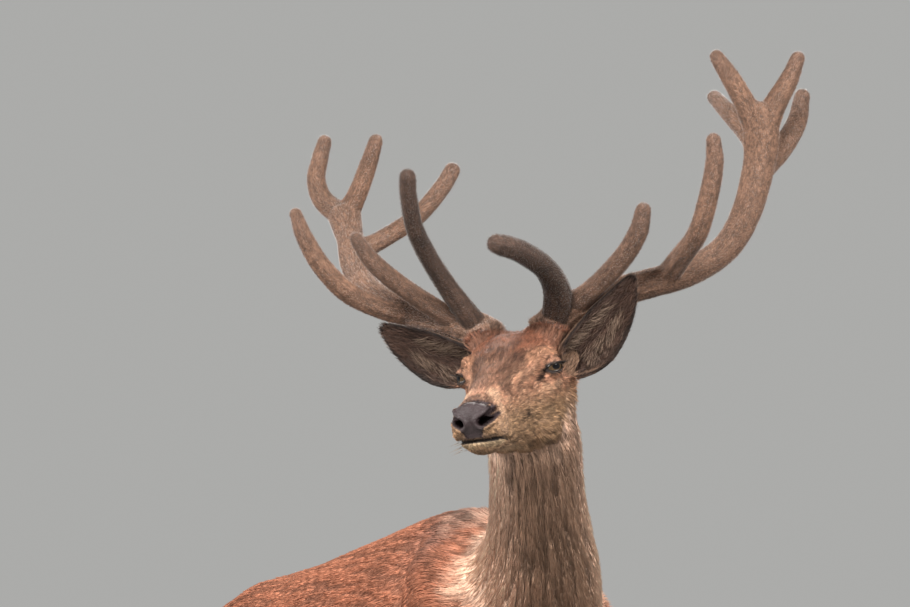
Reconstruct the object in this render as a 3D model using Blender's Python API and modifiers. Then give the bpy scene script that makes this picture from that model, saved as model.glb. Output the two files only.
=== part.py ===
"""Red deer stag in velvet, lying on its brisket with folded legs, neck raised and head turned right.

Metres, +X forward along the body, +Y to its left, +Z up, the floor at z = 0 under the brisket.
The body is modelled whole from lofted sections, fused, and then parted by thin cuts into its named pieces.
"""

import math

import bmesh
import bpy
import numpy as np
from mathutils import Matrix, Vector

GAP = 0.0004  # between pieces that touch
SOCKET_GAP = 0.0005  # round and under the foot of an antler in the head
BODY_GAP = 0.0010  # between the lower legs and the uneven body
FUSE_VOXEL = 0.008
FUSE_SMOOTHING = 10
BODY_TRIANGLES = 1500
TUBE_SIDES = 8
TIP_ANGLES = (0.5, 0.95, 1.35)  # radians, of the rings that round off the end of a tine
BLOCK_SIZE = 3.0  # of the blocks that stand for all that lies beyond a plane

# The head's own frame has its origin midway between the eyes.
HEAD_AT = (0.525, -0.275, 0.875)
HEAD_TURN = (-45.5, -10.5, 6.0)  # degrees: towards its left, nose up, left side up

# Sections of the trunk: x, top, widest level, bottom, half width, fullness of the upper half.
TRUNK = (
    (0.315, 0.400, 0.310, 0.220, 0.050, 2.0),
    (0.285, 0.465, 0.310, 0.150, 0.095, 2.0),
    (0.220, 0.545, 0.320, 0.075, 0.135, 2.0),
    (0.120, 0.622, 0.330, 0.022, 0.170, 1.9),
    (0.000, 0.668, 0.330, -0.006, 0.196, 1.75),
    (-0.140, 0.668, 0.320, -0.010, 0.214, 1.75),
    (-0.340, 0.628, 0.300, -0.010, 0.236, 1.9),
    (-0.550, 0.588, 0.285, -0.010, 0.248, 2.0),
    (-0.740, 0.562, 0.285, -0.006, 0.232, 1.95),
    (-0.890, 0.536, 0.290, 0.006, 0.200, 1.85),
    (-1.000, 0.490, 0.285, 0.035, 0.165, 1.9),
    (-1.080, 0.425, 0.280, 0.095, 0.118, 2.0),
    (-1.120, 0.360, 0.275, 0.180, 0.055, 2.0),
)
# Along the neck: x, y, z, half width, reach to the nape, reach to the throat.
NECK = (
    (0.020, 0.000, 0.420, 0.150, 0.215, 0.200),
    (0.130, 0.000, 0.475, 0.132, 0.175, 0.185),
    (0.250, -0.045, 0.565, 0.104, 0.128, 0.140),
    (0.360, -0.115, 0.665, 0.086, 0.100, 0.105),
    (0.443, -0.174, 0.765, 0.085, 0.086, 0.088),
    (0.488, -0.217, 0.835, 0.086, 0.080, 0.070),
)
# Sections of the head in its own frame: x, top, widest level, bottom, half width, fullness of the top.
HEAD = (
    (-0.150, 0.030, -0.005, -0.045, 0.042, 2.0),
    (-0.135, 0.053, -0.010, -0.078, 0.067, 2.1),
    (-0.100, 0.067, -0.012, -0.112, 0.080, 2.3),
    (-0.055, 0.065, -0.015, -0.137, 0.086, 2.5),
    (-0.010, 0.055, -0.020, -0.140, 0.083, 2.6),
    (0.035, 0.044, -0.028, -0.133, 0.068, 2.5),
    (0.085, 0.026, -0.045, -0.122, 0.053, 2.4),
    (0.135, 0.008, -0.055, -0.118, 0.045, 2.4),
    (0.185, -0.006, -0.058, -0.113, 0.045, 2.4),
    (0.225, -0.018, -0.062, -0.110, 0.047, 2.4),
    (0.250, -0.032, -0.064, -0.099, 0.040, 2.3),
    (0.263, -0.050, -0.066, -0.085, 0.024, 2.0),
)
BROW = ((-0.046, 0.077, 0.008, 0.013), (-0.012, 0.0715, 0.025, 0.0155), (0.022, 0.062, 0.015, 0.014))
PEDICLE = ((-0.092, 0.050, 0.020, 0.026), (-0.100, 0.058, 0.045, 0.027), (-0.106, 0.063, 0.060, 0.028))

# Limbs of the left side: x, y, z, half width, half height. The right side is mirrored and drawn back.
SHOULDER = (
    (-0.060, 0.080, 0.575, 0.040, 0.050),
    (0.000, 0.118, 0.520, 0.056, 0.085),
    (0.090, 0.142, 0.410, 0.064, 0.095),
    (0.170, 0.152, 0.310, 0.062, 0.080),
    (0.170, 0.160, 0.235, 0.060, 0.070),
    (0.100, 0.172, 0.185, 0.056, 0.066),
    (0.020, 0.180, 0.160, 0.050, 0.060),
    (-0.030, 0.182, 0.148, 0.034, 0.040),
)
FOREARM = (
    (-0.035, 0.183, 0.140, 0.026, 0.030),
    (0.010, 0.183, 0.140, 0.046, 0.056),
    (0.080, 0.182, 0.132, 0.045, 0.055),
    (0.170, 0.178, 0.117, 0.036, 0.043),
    (0.260, 0.172, 0.102, 0.029, 0.033),
    (0.315, 0.168, 0.093, 0.031, 0.034),
    (0.350, 0.165, 0.080, 0.032, 0.036),
    (0.368, 0.163, 0.058, 0.026, 0.032),
)
FORE_CANNON = (
    (0.366, 0.163, 0.056, 0.024, 0.026),
    (0.330, 0.163, 0.034, 0.028, 0.034),
    (0.260, 0.164, 0.024, 0.021, 0.025),
    (0.170, 0.166, 0.021, 0.019, 0.023),
    (0.110, 0.168, 0.023, 0.022, 0.026),
    (0.080, 0.170, 0.027, 0.025, 0.030),
    (0.040, 0.172, 0.036, 0.022, 0.024),
    (0.010, 0.174, 0.042, 0.023, 0.023),
)
THIGH = (
    (-0.990, 0.085, 0.375, 0.060, 0.085),
    (-0.920, 0.115, 0.350, 0.095, 0.140),
    (-0.820, 0.150, 0.310, 0.102, 0.160),
    (-0.710, 0.180, 0.260, 0.094, 0.142),
    (-0.610, 0.205, 0.205, 0.075, 0.105),
    (-0.540, 0.220, 0.170, 0.055, 0.070),
    (-0.505, 0.225, 0.155, 0.030, 0.035),
)
GASKIN = (
    (-0.530, 0.222, 0.155, 0.045, 0.060),
    (-0.600, 0.232, 0.150, 0.062, 0.085),
    (-0.700, 0.240, 0.132, 0.056, 0.072),
    (-0.800, 0.245, 0.112, 0.040, 0.050),
    (-0.880, 0.247, 0.098, 0.030, 0.036),
    (-0.945, 0.248, 0.088, 0.027, 0.036),
    (-0.975, 0.248, 0.078, 0.020, 0.026),
)
HIND_CANNON = (
    (-0.974, 0.249, 0.064, 0.020, 0.024),
    (-0.945, 0.250, 0.042, 0.030, 0.040),
    (-0.900, 0.252, 0.030, 0.030, 0.034),
    (-0.800, 0.258, 0.022, 0.022, 0.027),
    (-0.700, 0.264, 0.021, 0.020, 0.025),
    (-0.620, 0.270, 0.023, 0.024, 0.028),
    (-0.585, 0.273, 0.026, 0.026, 0.030),
    (-0.540, 0.276, 0.034, 0.022, 0.024),
    (-0.510, 0.278, 0.038, 0.023, 0.023),
)
RIGHT_BACK = {"foreleg": 0.022, "hindleg": -0.018}
# Hooves: where the two claws grow, and the direction they point.
FORE_HOOF = ((0.012, 0.174, 0.042), (-0.990, 0.020, -0.120))
HIND_HOOF = ((-0.512, 0.278, 0.038), (0.985, 0.020, -0.150))
CLAW = (  # along the claw: distance, half width, half height
    (-0.006, 0.0125, 0.020), (0.016, 0.0140, 0.021), (0.045, 0.0140, 0.0185), (0.070, 0.0105, 0.0130),
    (0.082, 0.0050, 0.0070),
)
CLAW_APART = 0.0160
DEWCLAW_LENGTH = 0.026
DEWCLAW_RADIUS = 0.0095

TAIL = (
    (-1.060, 0.0, 0.430, 0.034, 0.026, 0.026),
    (-1.105, 0.0, 0.412, 0.030, 0.022, 0.024),
    (-1.150, 0.0, 0.355, 0.028, 0.018, 0.022),
    (-1.168, 0.0, 0.295, 0.022, 0.014, 0.018),
    (-1.172, 0.0, 0.255, 0.010, 0.007, 0.009),
)

EYE_AT = (-0.014, 0.0730, 0.000)
EYE_RADIUS = 0.0212
NOSE_AT = (0.260, 0.0, -0.041)
NOSE_RADII = (0.026, 0.040, 0.028)
# Ears in the head's frame, y outwards: base, direction of the tip, direction of the opening, half width.
EARS = {
    "left": ((-0.080, 0.080, -0.012), (-0.09, 0.72, 0.69), (0.92, 0.36, -0.24), 0.043),
    "right": ((-0.088, 0.069, 0.004), (-0.04, 0.88, 0.47), (0.95, -0.20, -0.15), 0.042),
}
EAR_LENGTH = 0.200
EAR_BEND = 0.006
EAR_BOW = 0.014  # the lower edge is the rounder one
EAR_THICKNESS = 0.0045

# Antlers in the head's frame, y outwards: x, y, z, radius.
ANTLERS = {
    "left": {
        "beam": (
            (-0.103, 0.060, 0.052, 0.036), (-0.109, 0.066, 0.066, 0.034), (-0.118, 0.096, 0.086, 0.032),
            (-0.140, 0.150, 0.098, 0.029), (-0.185, 0.220, 0.107, 0.027), (-0.245, 0.287, 0.115, 0.026),
            (-0.310, 0.341, 0.142, 0.026), (-0.370, 0.374, 0.194, 0.027), (-0.420, 0.398, 0.270, 0.029),
            (-0.440, 0.407, 0.325, 0.033), (-0.446, 0.406, 0.358, 0.029),
        ),
        "brow": (
            (-0.100, 0.076, 0.080, 0.027), (-0.066, 0.092, 0.125, 0.025), (-0.018, 0.091, 0.168, 0.021),
            (0.050, 0.070, 0.208, 0.020), (0.104, 0.045, 0.230, 0.018),
        ),
        "bez": (
            (-0.112, 0.100, 0.090, 0.022), (-0.100, 0.155, 0.122, 0.020), (-0.090, 0.210, 0.164, 0.019),
            (-0.087, 0.245, 0.205, 0.018), (-0.088, 0.260, 0.242, 0.015),
        ),
        "trez": (
            (-0.215, 0.252, 0.112, 0.022), (-0.180, 0.285, 0.140, 0.021), (-0.150, 0.332, 0.183, 0.019),
            (-0.142, 0.362, 0.240, 0.018), (-0.148, 0.382, 0.300, 0.017), (-0.148, 0.387, 0.342, 0.014),
        ),
        "crown_inner": (
            (-0.438, 0.404, 0.330, 0.027), (-0.442, 0.386, 0.385, 0.021), (-0.450, 0.364, 0.436, 0.018),
            (-0.460, 0.343, 0.474, 0.014),
        ),
        "crown_outer": (
            (-0.442, 0.410, 0.330, 0.027), (-0.458, 0.434, 0.373, 0.022), (-0.482, 0.462, 0.414, 0.018),
            (-0.500, 0.480, 0.450, 0.014),
        ),
        "crown_back": (
            (-0.430, 0.402, 0.285, 0.022), (-0.480, 0.376, 0.325, 0.019), (-0.540, 0.333, 0.368, 0.017),
            (-0.595, 0.297, 0.398, 0.014),
        ),
        "crown_rear": (
            (-0.430, 0.396, 0.260, 0.022), (-0.500, 0.424, 0.292, 0.021), (-0.565, 0.446, 0.331, 0.019),
            (-0.615, 0.454, 0.377, 0.015),
        ),
    },
    "right": {
        "beam": (
            (-0.103, 0.060, 0.052, 0.036), (-0.109, 0.066, 0.066, 0.034), (-0.118, 0.098, 0.082, 0.032),
            (-0.140, 0.150, 0.096, 0.029), (-0.190, 0.232, 0.122, 0.026), (-0.255, 0.305, 0.160, 0.025),
            (-0.315, 0.340, 0.200, 0.025), (-0.370, 0.357, 0.243, 0.025), (-0.415, 0.374, 0.283, 0.030),
            (-0.427, 0.378, 0.308, 0.027),
        ),
        "brow": (
            (-0.100, 0.070, 0.080, 0.023), (-0.070, 0.105, 0.160, 0.019), (-0.010, 0.125, 0.255, 0.017),
            (0.022, 0.121, 0.320, 0.016), (0.038, 0.113, 0.360, 0.0155),
        ),
        "bez": (
            (-0.112, 0.105, 0.088, 0.021), (-0.100, 0.158, 0.134, 0.019), (-0.090, 0.209, 0.184, 0.018),
            (-0.088, 0.242, 0.225, 0.016), (-0.090, 0.260, 0.260, 0.0125),
        ),
        "trez": (
            (-0.165, 0.200, 0.108, 0.020), (-0.163, 0.245, 0.122, 0.020), (-0.155, 0.308, 0.162, 0.020),
            (-0.145, 0.348, 0.218, 0.018), (-0.146, 0.371, 0.272, 0.016), (-0.150, 0.382, 0.314, 0.012),
        ),
        "crown_inner": (
            (-0.420, 0.372, 0.285, 0.024), (-0.428, 0.348, 0.320, 0.019), (-0.445, 0.326, 0.366, 0.017),
            (-0.460, 0.308, 0.410, 0.014),
        ),
        "crown_outer": (
            (-0.418, 0.378, 0.285, 0.024), (-0.436, 0.416, 0.316, 0.020), (-0.455, 0.430, 0.354, 0.018),
            (-0.480, 0.424, 0.392, 0.016), (-0.500, 0.417, 0.420, 0.014),
        ),
        "crown_back": (
            (-0.345, 0.346, 0.218, 0.021), (-0.400, 0.302, 0.236, 0.018), (-0.460, 0.252, 0.264, 0.0175),
            (-0.515, 0.216, 0.304, 0.0165), (-0.548, 0.198, 0.334, 0.0155),
        ),
    },
}
BEAM_CUT_ROW = 5  # the beam is parted here into a lower and an upper length

SURFACES = {
    "coat": ((0.42, 0.16, 0.075), 0.75),
    "face": ((0.40, 0.19, 0.105), 0.70),
    "neck_coat": ((0.27, 0.15, 0.085), 0.80),
    "velvet": ((0.22, 0.125, 0.075), 0.85),
    "horn": ((0.035, 0.028, 0.025), 0.45),
    "eye": ((0.012, 0.008, 0.006), 0.08),
    "nose": ((0.05, 0.042, 0.05), 0.30),
    "ear": ((0.16, 0.11, 0.085), 0.80),
}


def turn(yaw, pitch, roll):
    """Columns are forward, left and up of a frame turned left, pitched nose up and rolled left side up."""
    a, b, c = (math.radians(v) for v in (yaw, pitch, roll))
    forward = np.array((math.cos(a) * math.cos(b), math.sin(a) * math.cos(b), math.sin(b)))
    level = np.array((-math.sin(a), math.cos(a), 0.0))
    left = math.cos(c) * level + math.sin(c) * np.cross(forward, level)
    return np.column_stack((forward, left, np.cross(forward, left)))


HEAD_AXES = turn(*HEAD_TURN)


def on_head(points, side=1):
    """World places of points in the head's frame, whose y points outwards on that side."""
    return (np.asarray(points, float) * (1, side, 1)) @ HEAD_AXES.T + np.array(HEAD_AT)


def spread(rows, count):
    """Rows between the given ones, evenly placed by their number, on a Catmull-Rom curve."""
    rows = np.asarray(rows, float)
    ends = np.vstack((2 * rows[0] - rows[1], rows, 2 * rows[-1] - rows[-2]))
    t = np.linspace(0, len(rows) - 1, count)
    i = np.minimum(t.astype(int), len(rows) - 2)
    s = (t - i)[:, None]
    a, b, c, d = (ends[i + k] for k in range(4))
    bend = (2 * a - 5 * b + 4 * c - d) * s**2 + (3 * b - a - 3 * c + d) * s**3
    return 0.5 * (2 * b + (c - a) * s + bend)


def rings(centres, sides, ups, widths, highs, lows, fullness, around, below=2.3):
    """Superellipse rings: each round its centre, wide along side, high along up and low below it."""
    a = np.linspace(0, 2 * math.pi, around, endpoint=False)
    over = np.sin(a) > 0
    power = np.where(over, 2 / np.asarray(fullness, float)[:, None], 2 / below)
    across = np.sign(np.cos(a)) * np.abs(np.cos(a)) ** power * widths[:, None]
    upward = np.sign(np.sin(a)) * np.abs(np.sin(a)) ** power * np.where(over, highs[:, None], lows[:, None])
    return centres[:, None] + across[..., None] * sides[:, None] + upward[..., None] * ups[:, None]


def closed(points):
    """Points and faces of a closed skin over rings, with a pole in the middle of the first and last."""
    along, around = points.shape[:2]
    poles = np.stack((points[0].mean(0), points[-1].mean(0)))
    i, j = np.meshgrid(np.arange(along - 1), np.arange(around), indexing="ij")
    k = (j + 1) % around
    quads = np.stack((i * around + j, i * around + k, (i + 1) * around + k, (i + 1) * around + j), -1)
    j, k = j[0], k[0]
    first, end = along * around, (along - 1) * around
    start = np.stack((np.full(around, first), k, j), -1)
    finish = np.stack((np.full(around, first + 1), end + j, end + k), -1)
    vertices = np.vstack((points.reshape(-1, 3), poles))
    return vertices, quads.reshape(-1, 4).tolist() + start.tolist() + finish.tolist()


def upright(rows, along, around):
    """A body over upright sections: x, top, widest level, bottom, half width, fullness of the top."""
    x, top, middle, bottom, width, full = spread(rows, along).T
    centres = np.stack((x, 0 * x, middle), -1)
    sides, ups = np.tile((0.0, 1.0, 0.0), (along, 1)), np.tile((0.0, 0.0, 1.0), (along, 1))
    points = rings(centres, sides, ups, width, top - middle, middle - bottom, full, around)
    return closed(points[:, ::-1] if x[-1] < x[0] else points)


def carried(ahead):
    """Side directions along a path: level at its start, then turned no more than the path turns them."""
    sides, side = np.empty_like(ahead), np.cross((0.0, 0.0, 1.0), ahead[0])
    for k, tangent in enumerate(ahead):
        side = side - (side @ tangent) * tangent
        side = side / np.linalg.norm(side)
        sides[k] = side
    return sides


def limb(rows, along, around, grown=0.0):
    """A body along a path: x, y, z, half width, then reach above and below, or one half height."""
    rows = spread([row if len(row) == 6 else (*row, row[4]) for row in rows], along)
    ahead = np.gradient(rows[:, :3], axis=0)
    ahead /= np.linalg.norm(ahead, axis=1)[:, None]
    sides = carried(ahead)
    width, high, low = (rows[:, k] + grown for k in (3, 4, 5))
    fullness = np.full(along, 2.0)
    return closed(rings(rows[:, :3], sides, np.cross(ahead, sides), width, high, low, fullness, around))


def round_limb(rows, along, around):
    """A round body along a path of x, y, z, radius."""
    rows = [(x, y, z, r, r) for x, y, z, r in rows]
    return limb(rows, along, around)


def mirrored(skin, back=0.0):
    """The same on the right side, drawn back."""
    points, faces = skin
    return points * (1, -1, 1) - (back, 0, 0), [face[::-1] for face in faces]


def placed_on_head(skin, side=1):
    points, faces = skin
    return on_head(points, side), [face[::-1] for face in faces] if side < 0 else faces


def collection(name):
    made = bpy.data.collections.new(name)
    bpy.context.scene.collection.children.link(made)
    return made


for old in list(bpy.data.objects):
    bpy.data.objects.remove(old)
PARTS = collection("red_deer_stag")
CUTTERS = collection("cutters")


def material(name):
    """The node material of one surface, made once."""
    if name in bpy.data.materials:
        return bpy.data.materials[name]
    made = bpy.data.materials.new(name)
    made.use_nodes = True
    shader = made.node_tree.nodes["Principled BSDF"]
    colour, roughness = SURFACES[name]
    shader.inputs["Base Color"].default_value = (*colour, 1.0)
    shader.inputs["Roughness"].default_value = roughness
    shader.inputs["Metallic"].default_value = 0.0
    made.diffuse_color = (*colour, 1.0)
    return made


def kept_in(thing, where):
    """Put the object in one collection; what is in the cutters' is not part of the stag."""
    for user in list(thing.users_collection):
        user.objects.unlink(thing)
    where.objects.link(thing)
    thing.hide_render = where is CUTTERS
    thing.display_type = "WIRE" if where is CUTTERS else "TEXTURED"
    return thing


def linked(name, mesh, where):
    return kept_in(bpy.data.objects.new(name, mesh), where)


def from_skins(name, skins, where):
    """One object holding several closed skins."""
    points, faces, count = [], [], 0
    for skin_points, skin_faces in skins:
        points.append(skin_points)
        faces += [tuple(corner + count for corner in face) for face in skin_faces]
        count += len(skin_points)
    mesh = bpy.data.meshes.new(name)
    mesh.from_pydata(np.vstack(points).tolist(), [], faces)
    return linked(name, mesh, where)


def baked(thing):
    """A mesh of the object as its modifiers leave it."""
    bpy.context.view_layer.update()
    return bpy.data.meshes.new_from_object(thing.evaluated_get(bpy.context.evaluated_depsgraph_get()))


def settle(thing):
    """Apply the object's modifiers."""
    mesh = baked(thing)
    thing.modifiers.clear()
    thing.data = mesh
    return thing


def cut(thing, cutter, keep="DIFFERENCE"):
    boolean = thing.modifiers.new("cut", "BOOLEAN")
    boolean.operation = keep
    boolean.solver = "MANIFOLD"  # every skin here is closed, and the exact solver loses some of these cuts
    boolean.object = cutter
    return thing


def copy_of(thing, name, where):
    """A copy without its own modifiers, of the mesh as it stands."""
    made = linked(name, thing.data.copy(), where)
    made.matrix_world = thing.matrix_world.copy()
    return made


def grown(thing, by=GAP):
    """A cutter: the same shape with its surface moved out."""
    made = copy_of(thing, thing.name + "_grown", CUTTERS)
    displace = made.modifiers.new("grow", "DISPLACE")
    displace.strength = by
    displace.mid_level = 0.0
    return made


def largest_island(thing):
    """Keep the biggest closed island of the mesh and drop scraps that a cut left."""
    shape = bmesh.new()
    shape.from_mesh(thing.data)
    left, islands = set(shape.verts), []
    while left:
        stack, island = [left.pop()], []
        while stack:
            vertex = stack.pop()
            island.append(vertex)
            for edge in vertex.link_edges:
                other = edge.other_vert(vertex)
                if other in left:
                    left.discard(other)
                    stack.append(other)
        islands.append(island)
    islands.sort(key=len)
    for island in islands[:-1]:
        bmesh.ops.delete(shape, geom=island, context="VERTS")
    bmesh.ops.triangulate(shape, faces=shape.faces)
    bmesh.ops.dissolve_degenerate(shape, dist=0.00003, edges=shape.edges)
    shape.to_mesh(thing.data)
    shape.free()
    return thing


def finished(thing, surface):
    """Settle a part, keep its one body, and give it its material."""
    largest_island(settle(thing))
    thing.data.materials.clear()
    thing.data.materials.append(material(surface))
    return thing


def half_space(name, point, normal):
    """A block on the side of a plane that its normal points to."""
    bpy.ops.mesh.primitive_cube_add(size=BLOCK_SIZE)
    block = bpy.context.object
    block.name = name
    normal = Vector(normal).normalized()
    middle = Matrix.Translation(Vector(point) + normal * BLOCK_SIZE / 2)
    block.matrix_world = middle @ normal.to_track_quat("Z", "Y").to_matrix().to_4x4()
    return kept_in(block, CUTTERS)


def ball(name, centre, radii, axes, where, segments=16):
    """An ellipsoid with its own axes."""
    bpy.ops.mesh.primitive_uv_sphere_add(segments=segments, ring_count=segments // 2, radius=1.0)
    made = bpy.context.object
    made.name = name
    shape = Matrix([list(row) for row in axes]).to_4x4() @ Matrix.Diagonal((*radii, 1.0))
    made.data.transform(Matrix.Translation(Vector(centre)) @ shape)
    return kept_in(made, where)


def whole_body():
    """Trunk, neck, head, shoulders, thighs and tail fused into one smooth surface, flat on the floor."""
    skins = [upright(TRUNK, 60, 64), limb(NECK, 40, 48), limb(TAIL, 20, 24)]
    skins.append(placed_on_head(upright(HEAD, 60, 64)))
    for side in (1, -1):
        for rows in (BROW, PEDICLE):
            skins.append(placed_on_head(round_limb(rows, 12, 24), side))
    for haunch in (SHOULDER, THIGH):
        skin = limb(haunch, 30, 32)
        skins += [skin, mirrored(skin)]
    body = from_skins("whole_body", skins, CUTTERS)
    remesh = body.modifiers.new("fuse", "REMESH")
    remesh.mode = "VOXEL"
    remesh.voxel_size = FUSE_VOXEL
    smooth = body.modifiers.new("smooth", "SMOOTH")
    smooth.factor = 0.5
    smooth.iterations = FUSE_SMOOTHING
    settle(body)
    decimate = body.modifiers.new("thin", "DECIMATE")
    decimate.ratio = BODY_TRIANGLES / (2 * len(body.data.polygons))
    settle(body)
    cut(body, half_space("below_floor", (0, 0, 0), (0, 0, -1)))
    return settle(body)


LEGS = {
    "foreleg": {"upper": ("forearm", FOREARM), "cannon": FORE_CANNON, "hoof": FORE_HOOF},
    "hindleg": {"upper": ("gaskin", GASKIN), "cannon": HIND_CANNON, "hoof": HIND_HOOF},
}
THIGH_MARGIN = 0.012  # round the thigh's own rows, of what the fused body gives to the thigh


def part_off(body, name, zone, surface):
    """Take the part of the body inside the zone as its own node, and leave the rest with a thin gap."""
    piece = cut(copy_of(body, name, PARTS), zone, "INTERSECT")
    cut(body, grown(zone))
    finished(piece, surface)
    settle(body)
    return piece


def leg_length(name, rows, right, leg, neighbours, sides=8):
    """One length of a lower leg, flat on the floor and cut clear of its neighbours."""
    skin = limb(rows, len(rows), sides)
    piece = from_skins(name, [mirrored(skin, RIGHT_BACK[leg]) if right else skin], PARTS)
    cut(piece, bpy.data.objects["below_floor"])
    for neighbour in neighbours:
        cut(piece, neighbour)
    return settle(piece)


def claw_rows(hoof, offset):
    """Rows of one claw, beside the middle line of the foot and turned a little towards it."""
    at, ahead = (np.array(v) for v in hoof)
    forward = ahead / np.linalg.norm(ahead)
    start = at + np.array((0.0, offset, 0.0))
    return [(*(start + forward * d - np.array((0.0, offset * 2.2, 0.0)) * d), w, h) for d, w, h in CLAW]


def dewclaw_rows(hoof, offset):
    """Rows of one small dewclaw behind the fetlock, pointing back and up."""
    at, ahead = (np.array(v) for v in hoof)
    forward = ahead / np.linalg.norm(ahead)
    heel = at - forward * 0.060 + np.array((0.0, offset, 0.018))
    lift = np.array((forward[0] * 0.9, 0.0, 0.3))
    return [(*(heel + lift * d), r, r) for d, r in (
        (-0.006, DEWCLAW_RADIUS), (DEWCLAW_LENGTH * 0.5, DEWCLAW_RADIUS * 0.85),
        (DEWCLAW_LENGTH, DEWCLAW_RADIUS * 0.35))]


def lower_legs(body):
    """Forearm or gaskin, cannon, two claws and two dewclaws of each leg."""
    clear_of_body = [body, grown(body, BODY_GAP)]  # the second alone misses a few faces in the creases
    for leg, lengths in LEGS.items():
        for right, word in enumerate(("left", "right")):
            upper_name, upper_rows = lengths["upper"]
            upper = leg_length(f"{leg}_{word}_{upper_name}", upper_rows, right, leg, clear_of_body)
            hoof = []
            for offset, place in ((CLAW_APART, "outer"), (-CLAW_APART, "inner")):
                rows = claw_rows(lengths["hoof"], offset)
                hoof.append(leg_length(f"{leg}_{word}_claw_{place}", rows, right, leg, []))
                rows = dewclaw_rows(lengths["hoof"], offset * 0.95)
                hoof.append(leg_length(f"{leg}_{word}_dewclaw_{place}", rows, right, leg, [], 6))
            neighbours = clear_of_body + [upper, grown(upper)] + [grown(piece) for piece in hoof]
            cannon = leg_length(f"{leg}_{word}_cannon", lengths["cannon"], right, leg, neighbours)
            for piece in hoof:
                finished(piece, "horn")
            finished(upper, "coat")
            finished(cannon, "coat")


def thighs(body):
    for right, word in enumerate(("left", "right")):
        skin = limb(THIGH, len(THIGH) - 1, 8, THIGH_MARGIN)
        zone = from_skins(f"zone_thigh_{word}", [mirrored(skin) if right else skin], CUTTERS)
        part_off(body, f"hindleg_{word}_thigh", zone, "coat")


def head_space(name, point, normal):
    return half_space(name, on_head(point), HEAD_AXES @ np.array(normal))


def head_parts(body):
    """Eyes in their sockets, nose, lower jaw, then the head itself."""
    eyes = []
    for side, word in ((1, "left"), (-1, "right")):
        eye = ball(f"eye_{word}", on_head(EYE_AT, side), (EYE_RADIUS,) * 3, HEAD_AXES, PARTS, 12)
        eyes.append(eye)
        cut(body, grown(eye))
        settle(body)
    for eye in eyes:
        finished(eye, "eye")
    nose_zone = ball("zone_nose", on_head(NOSE_AT), NOSE_RADII, HEAD_AXES, CUTTERS)
    part_off(body, "nose", nose_zone, "nose")
    jaw_zone = cut(head_space("zone_jaw", (0.160, 0.0, -0.086), (0.04, 0.0, -1.0)),
                   head_space("ahead_of_mouth", (0.130, 0.0, 0.0), (0.85, 0.0, 0.53)), "INTERSECT")
    part_off(body, "lower_jaw", settle(jaw_zone), "face")
    part_off(body, "head", head_space("zone_head", (-0.145, 0.0, 0.060), (0.927, 0.0, 0.375)), "face")


def ear(word, side):
    """A leaf-shaped cup: rolled at the base, widest below the middle, pointed, and given a thickness."""
    base, tip, opening, half_width = (np.array(v, float) for v in EARS[word])
    tip /= np.linalg.norm(tip)
    opening -= tip * (opening @ tip)
    opening /= np.linalg.norm(opening)
    across = np.cross(opening, tip)
    u = np.linspace(0, 1, 8)[:, None]
    v = np.linspace(-1, 1, 6)[None, :]
    width = half_width * (0.5 + 0.5 * np.sin(math.pi * u**0.8)) * np.sqrt(1 - u**4) + 0.002
    roll = np.radians(128 - 70 * np.minimum(u * 1.8, 1))
    sweep = width / np.maximum(np.sin(np.minimum(roll, math.pi / 2)), 0.5)
    out = sweep * np.sin(roll * v)
    rise = sweep * (1 - np.cos(roll * v)) * 0.85
    bow = np.sin(math.pi * u[..., None])
    middle = base + tip * EAR_LENGTH * u[..., None] - opening * EAR_BEND * bow**2 - across * EAR_BOW * bow
    points = middle + across * out[..., None] + opening * (rise[..., None] - 0.018)
    mesh = bpy.data.meshes.new(f"ear_{word}")
    rows, columns = points.shape[:2]
    faces = [(i * columns + j, i * columns + j + 1, (i + 1) * columns + j + 1, (i + 1) * columns + j)
             for i in range(rows - 1) for j in range(columns - 1)]
    mesh.from_pydata(on_head(points.reshape(-1, 3), side).tolist(), [], faces)
    shell = linked(f"ear_{word}", mesh, PARTS)
    solidify = shell.modifiers.new("thickness", "SOLIDIFY")
    solidify.thickness = EAR_THICKNESS
    solidify.offset = 0.0
    settle(shell)
    for neighbour in ("head", f"antler_{word}_beam_lower", f"antler_{word}_bez"):
        cut(shell, grown(bpy.data.objects[neighbour]))
    settle(shell)
    return shell


def tube(name, rows, where, grown_by=0.0, round_end=True):
    """A curve along rows of x, y, z, radius as a closed mesh, its end flat or rounded off."""
    rows = np.array(rows, float)
    if round_end:
        ahead = rows[-1, :3] - rows[-2, :3]
        ahead /= np.linalg.norm(ahead)
        *end, radius = rows[-1]
        tip = [(*(end + ahead * radius * math.sin(a)), radius * math.cos(a)) for a in TIP_ANGLES]
        rows = np.vstack((rows, tip))
    curve = bpy.data.curves.new(name, "CURVE")
    curve.dimensions = "3D"
    curve.bevel_depth = 1.0
    curve.bevel_resolution = TUBE_SIDES // 4 - 1
    curve.use_fill_caps = True
    spline = curve.splines.new("POLY")
    spline.points.add(len(rows) - 1)
    for point, (x, y, z, radius) in zip(spline.points, rows):
        point.co = (x, y, z, 1.0)
        point.radius = radius + grown_by
    path = linked(name + "_path", curve, CUTTERS)
    mesh = baked(path)
    bpy.data.objects.remove(path)
    shape = bmesh.new()
    shape.from_mesh(mesh)
    bmesh.ops.remove_doubles(shape, verts=shape.verts, dist=0.00002)
    bmesh.ops.recalc_face_normals(shape, faces=shape.faces)
    shape.to_mesh(mesh)
    shape.free()
    return linked(name, mesh, where)


def world_rows(rows, side, count):
    rows = spread(rows, count)
    return np.column_stack((on_head(rows[:, :3], side), rows[:, 3]))


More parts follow.
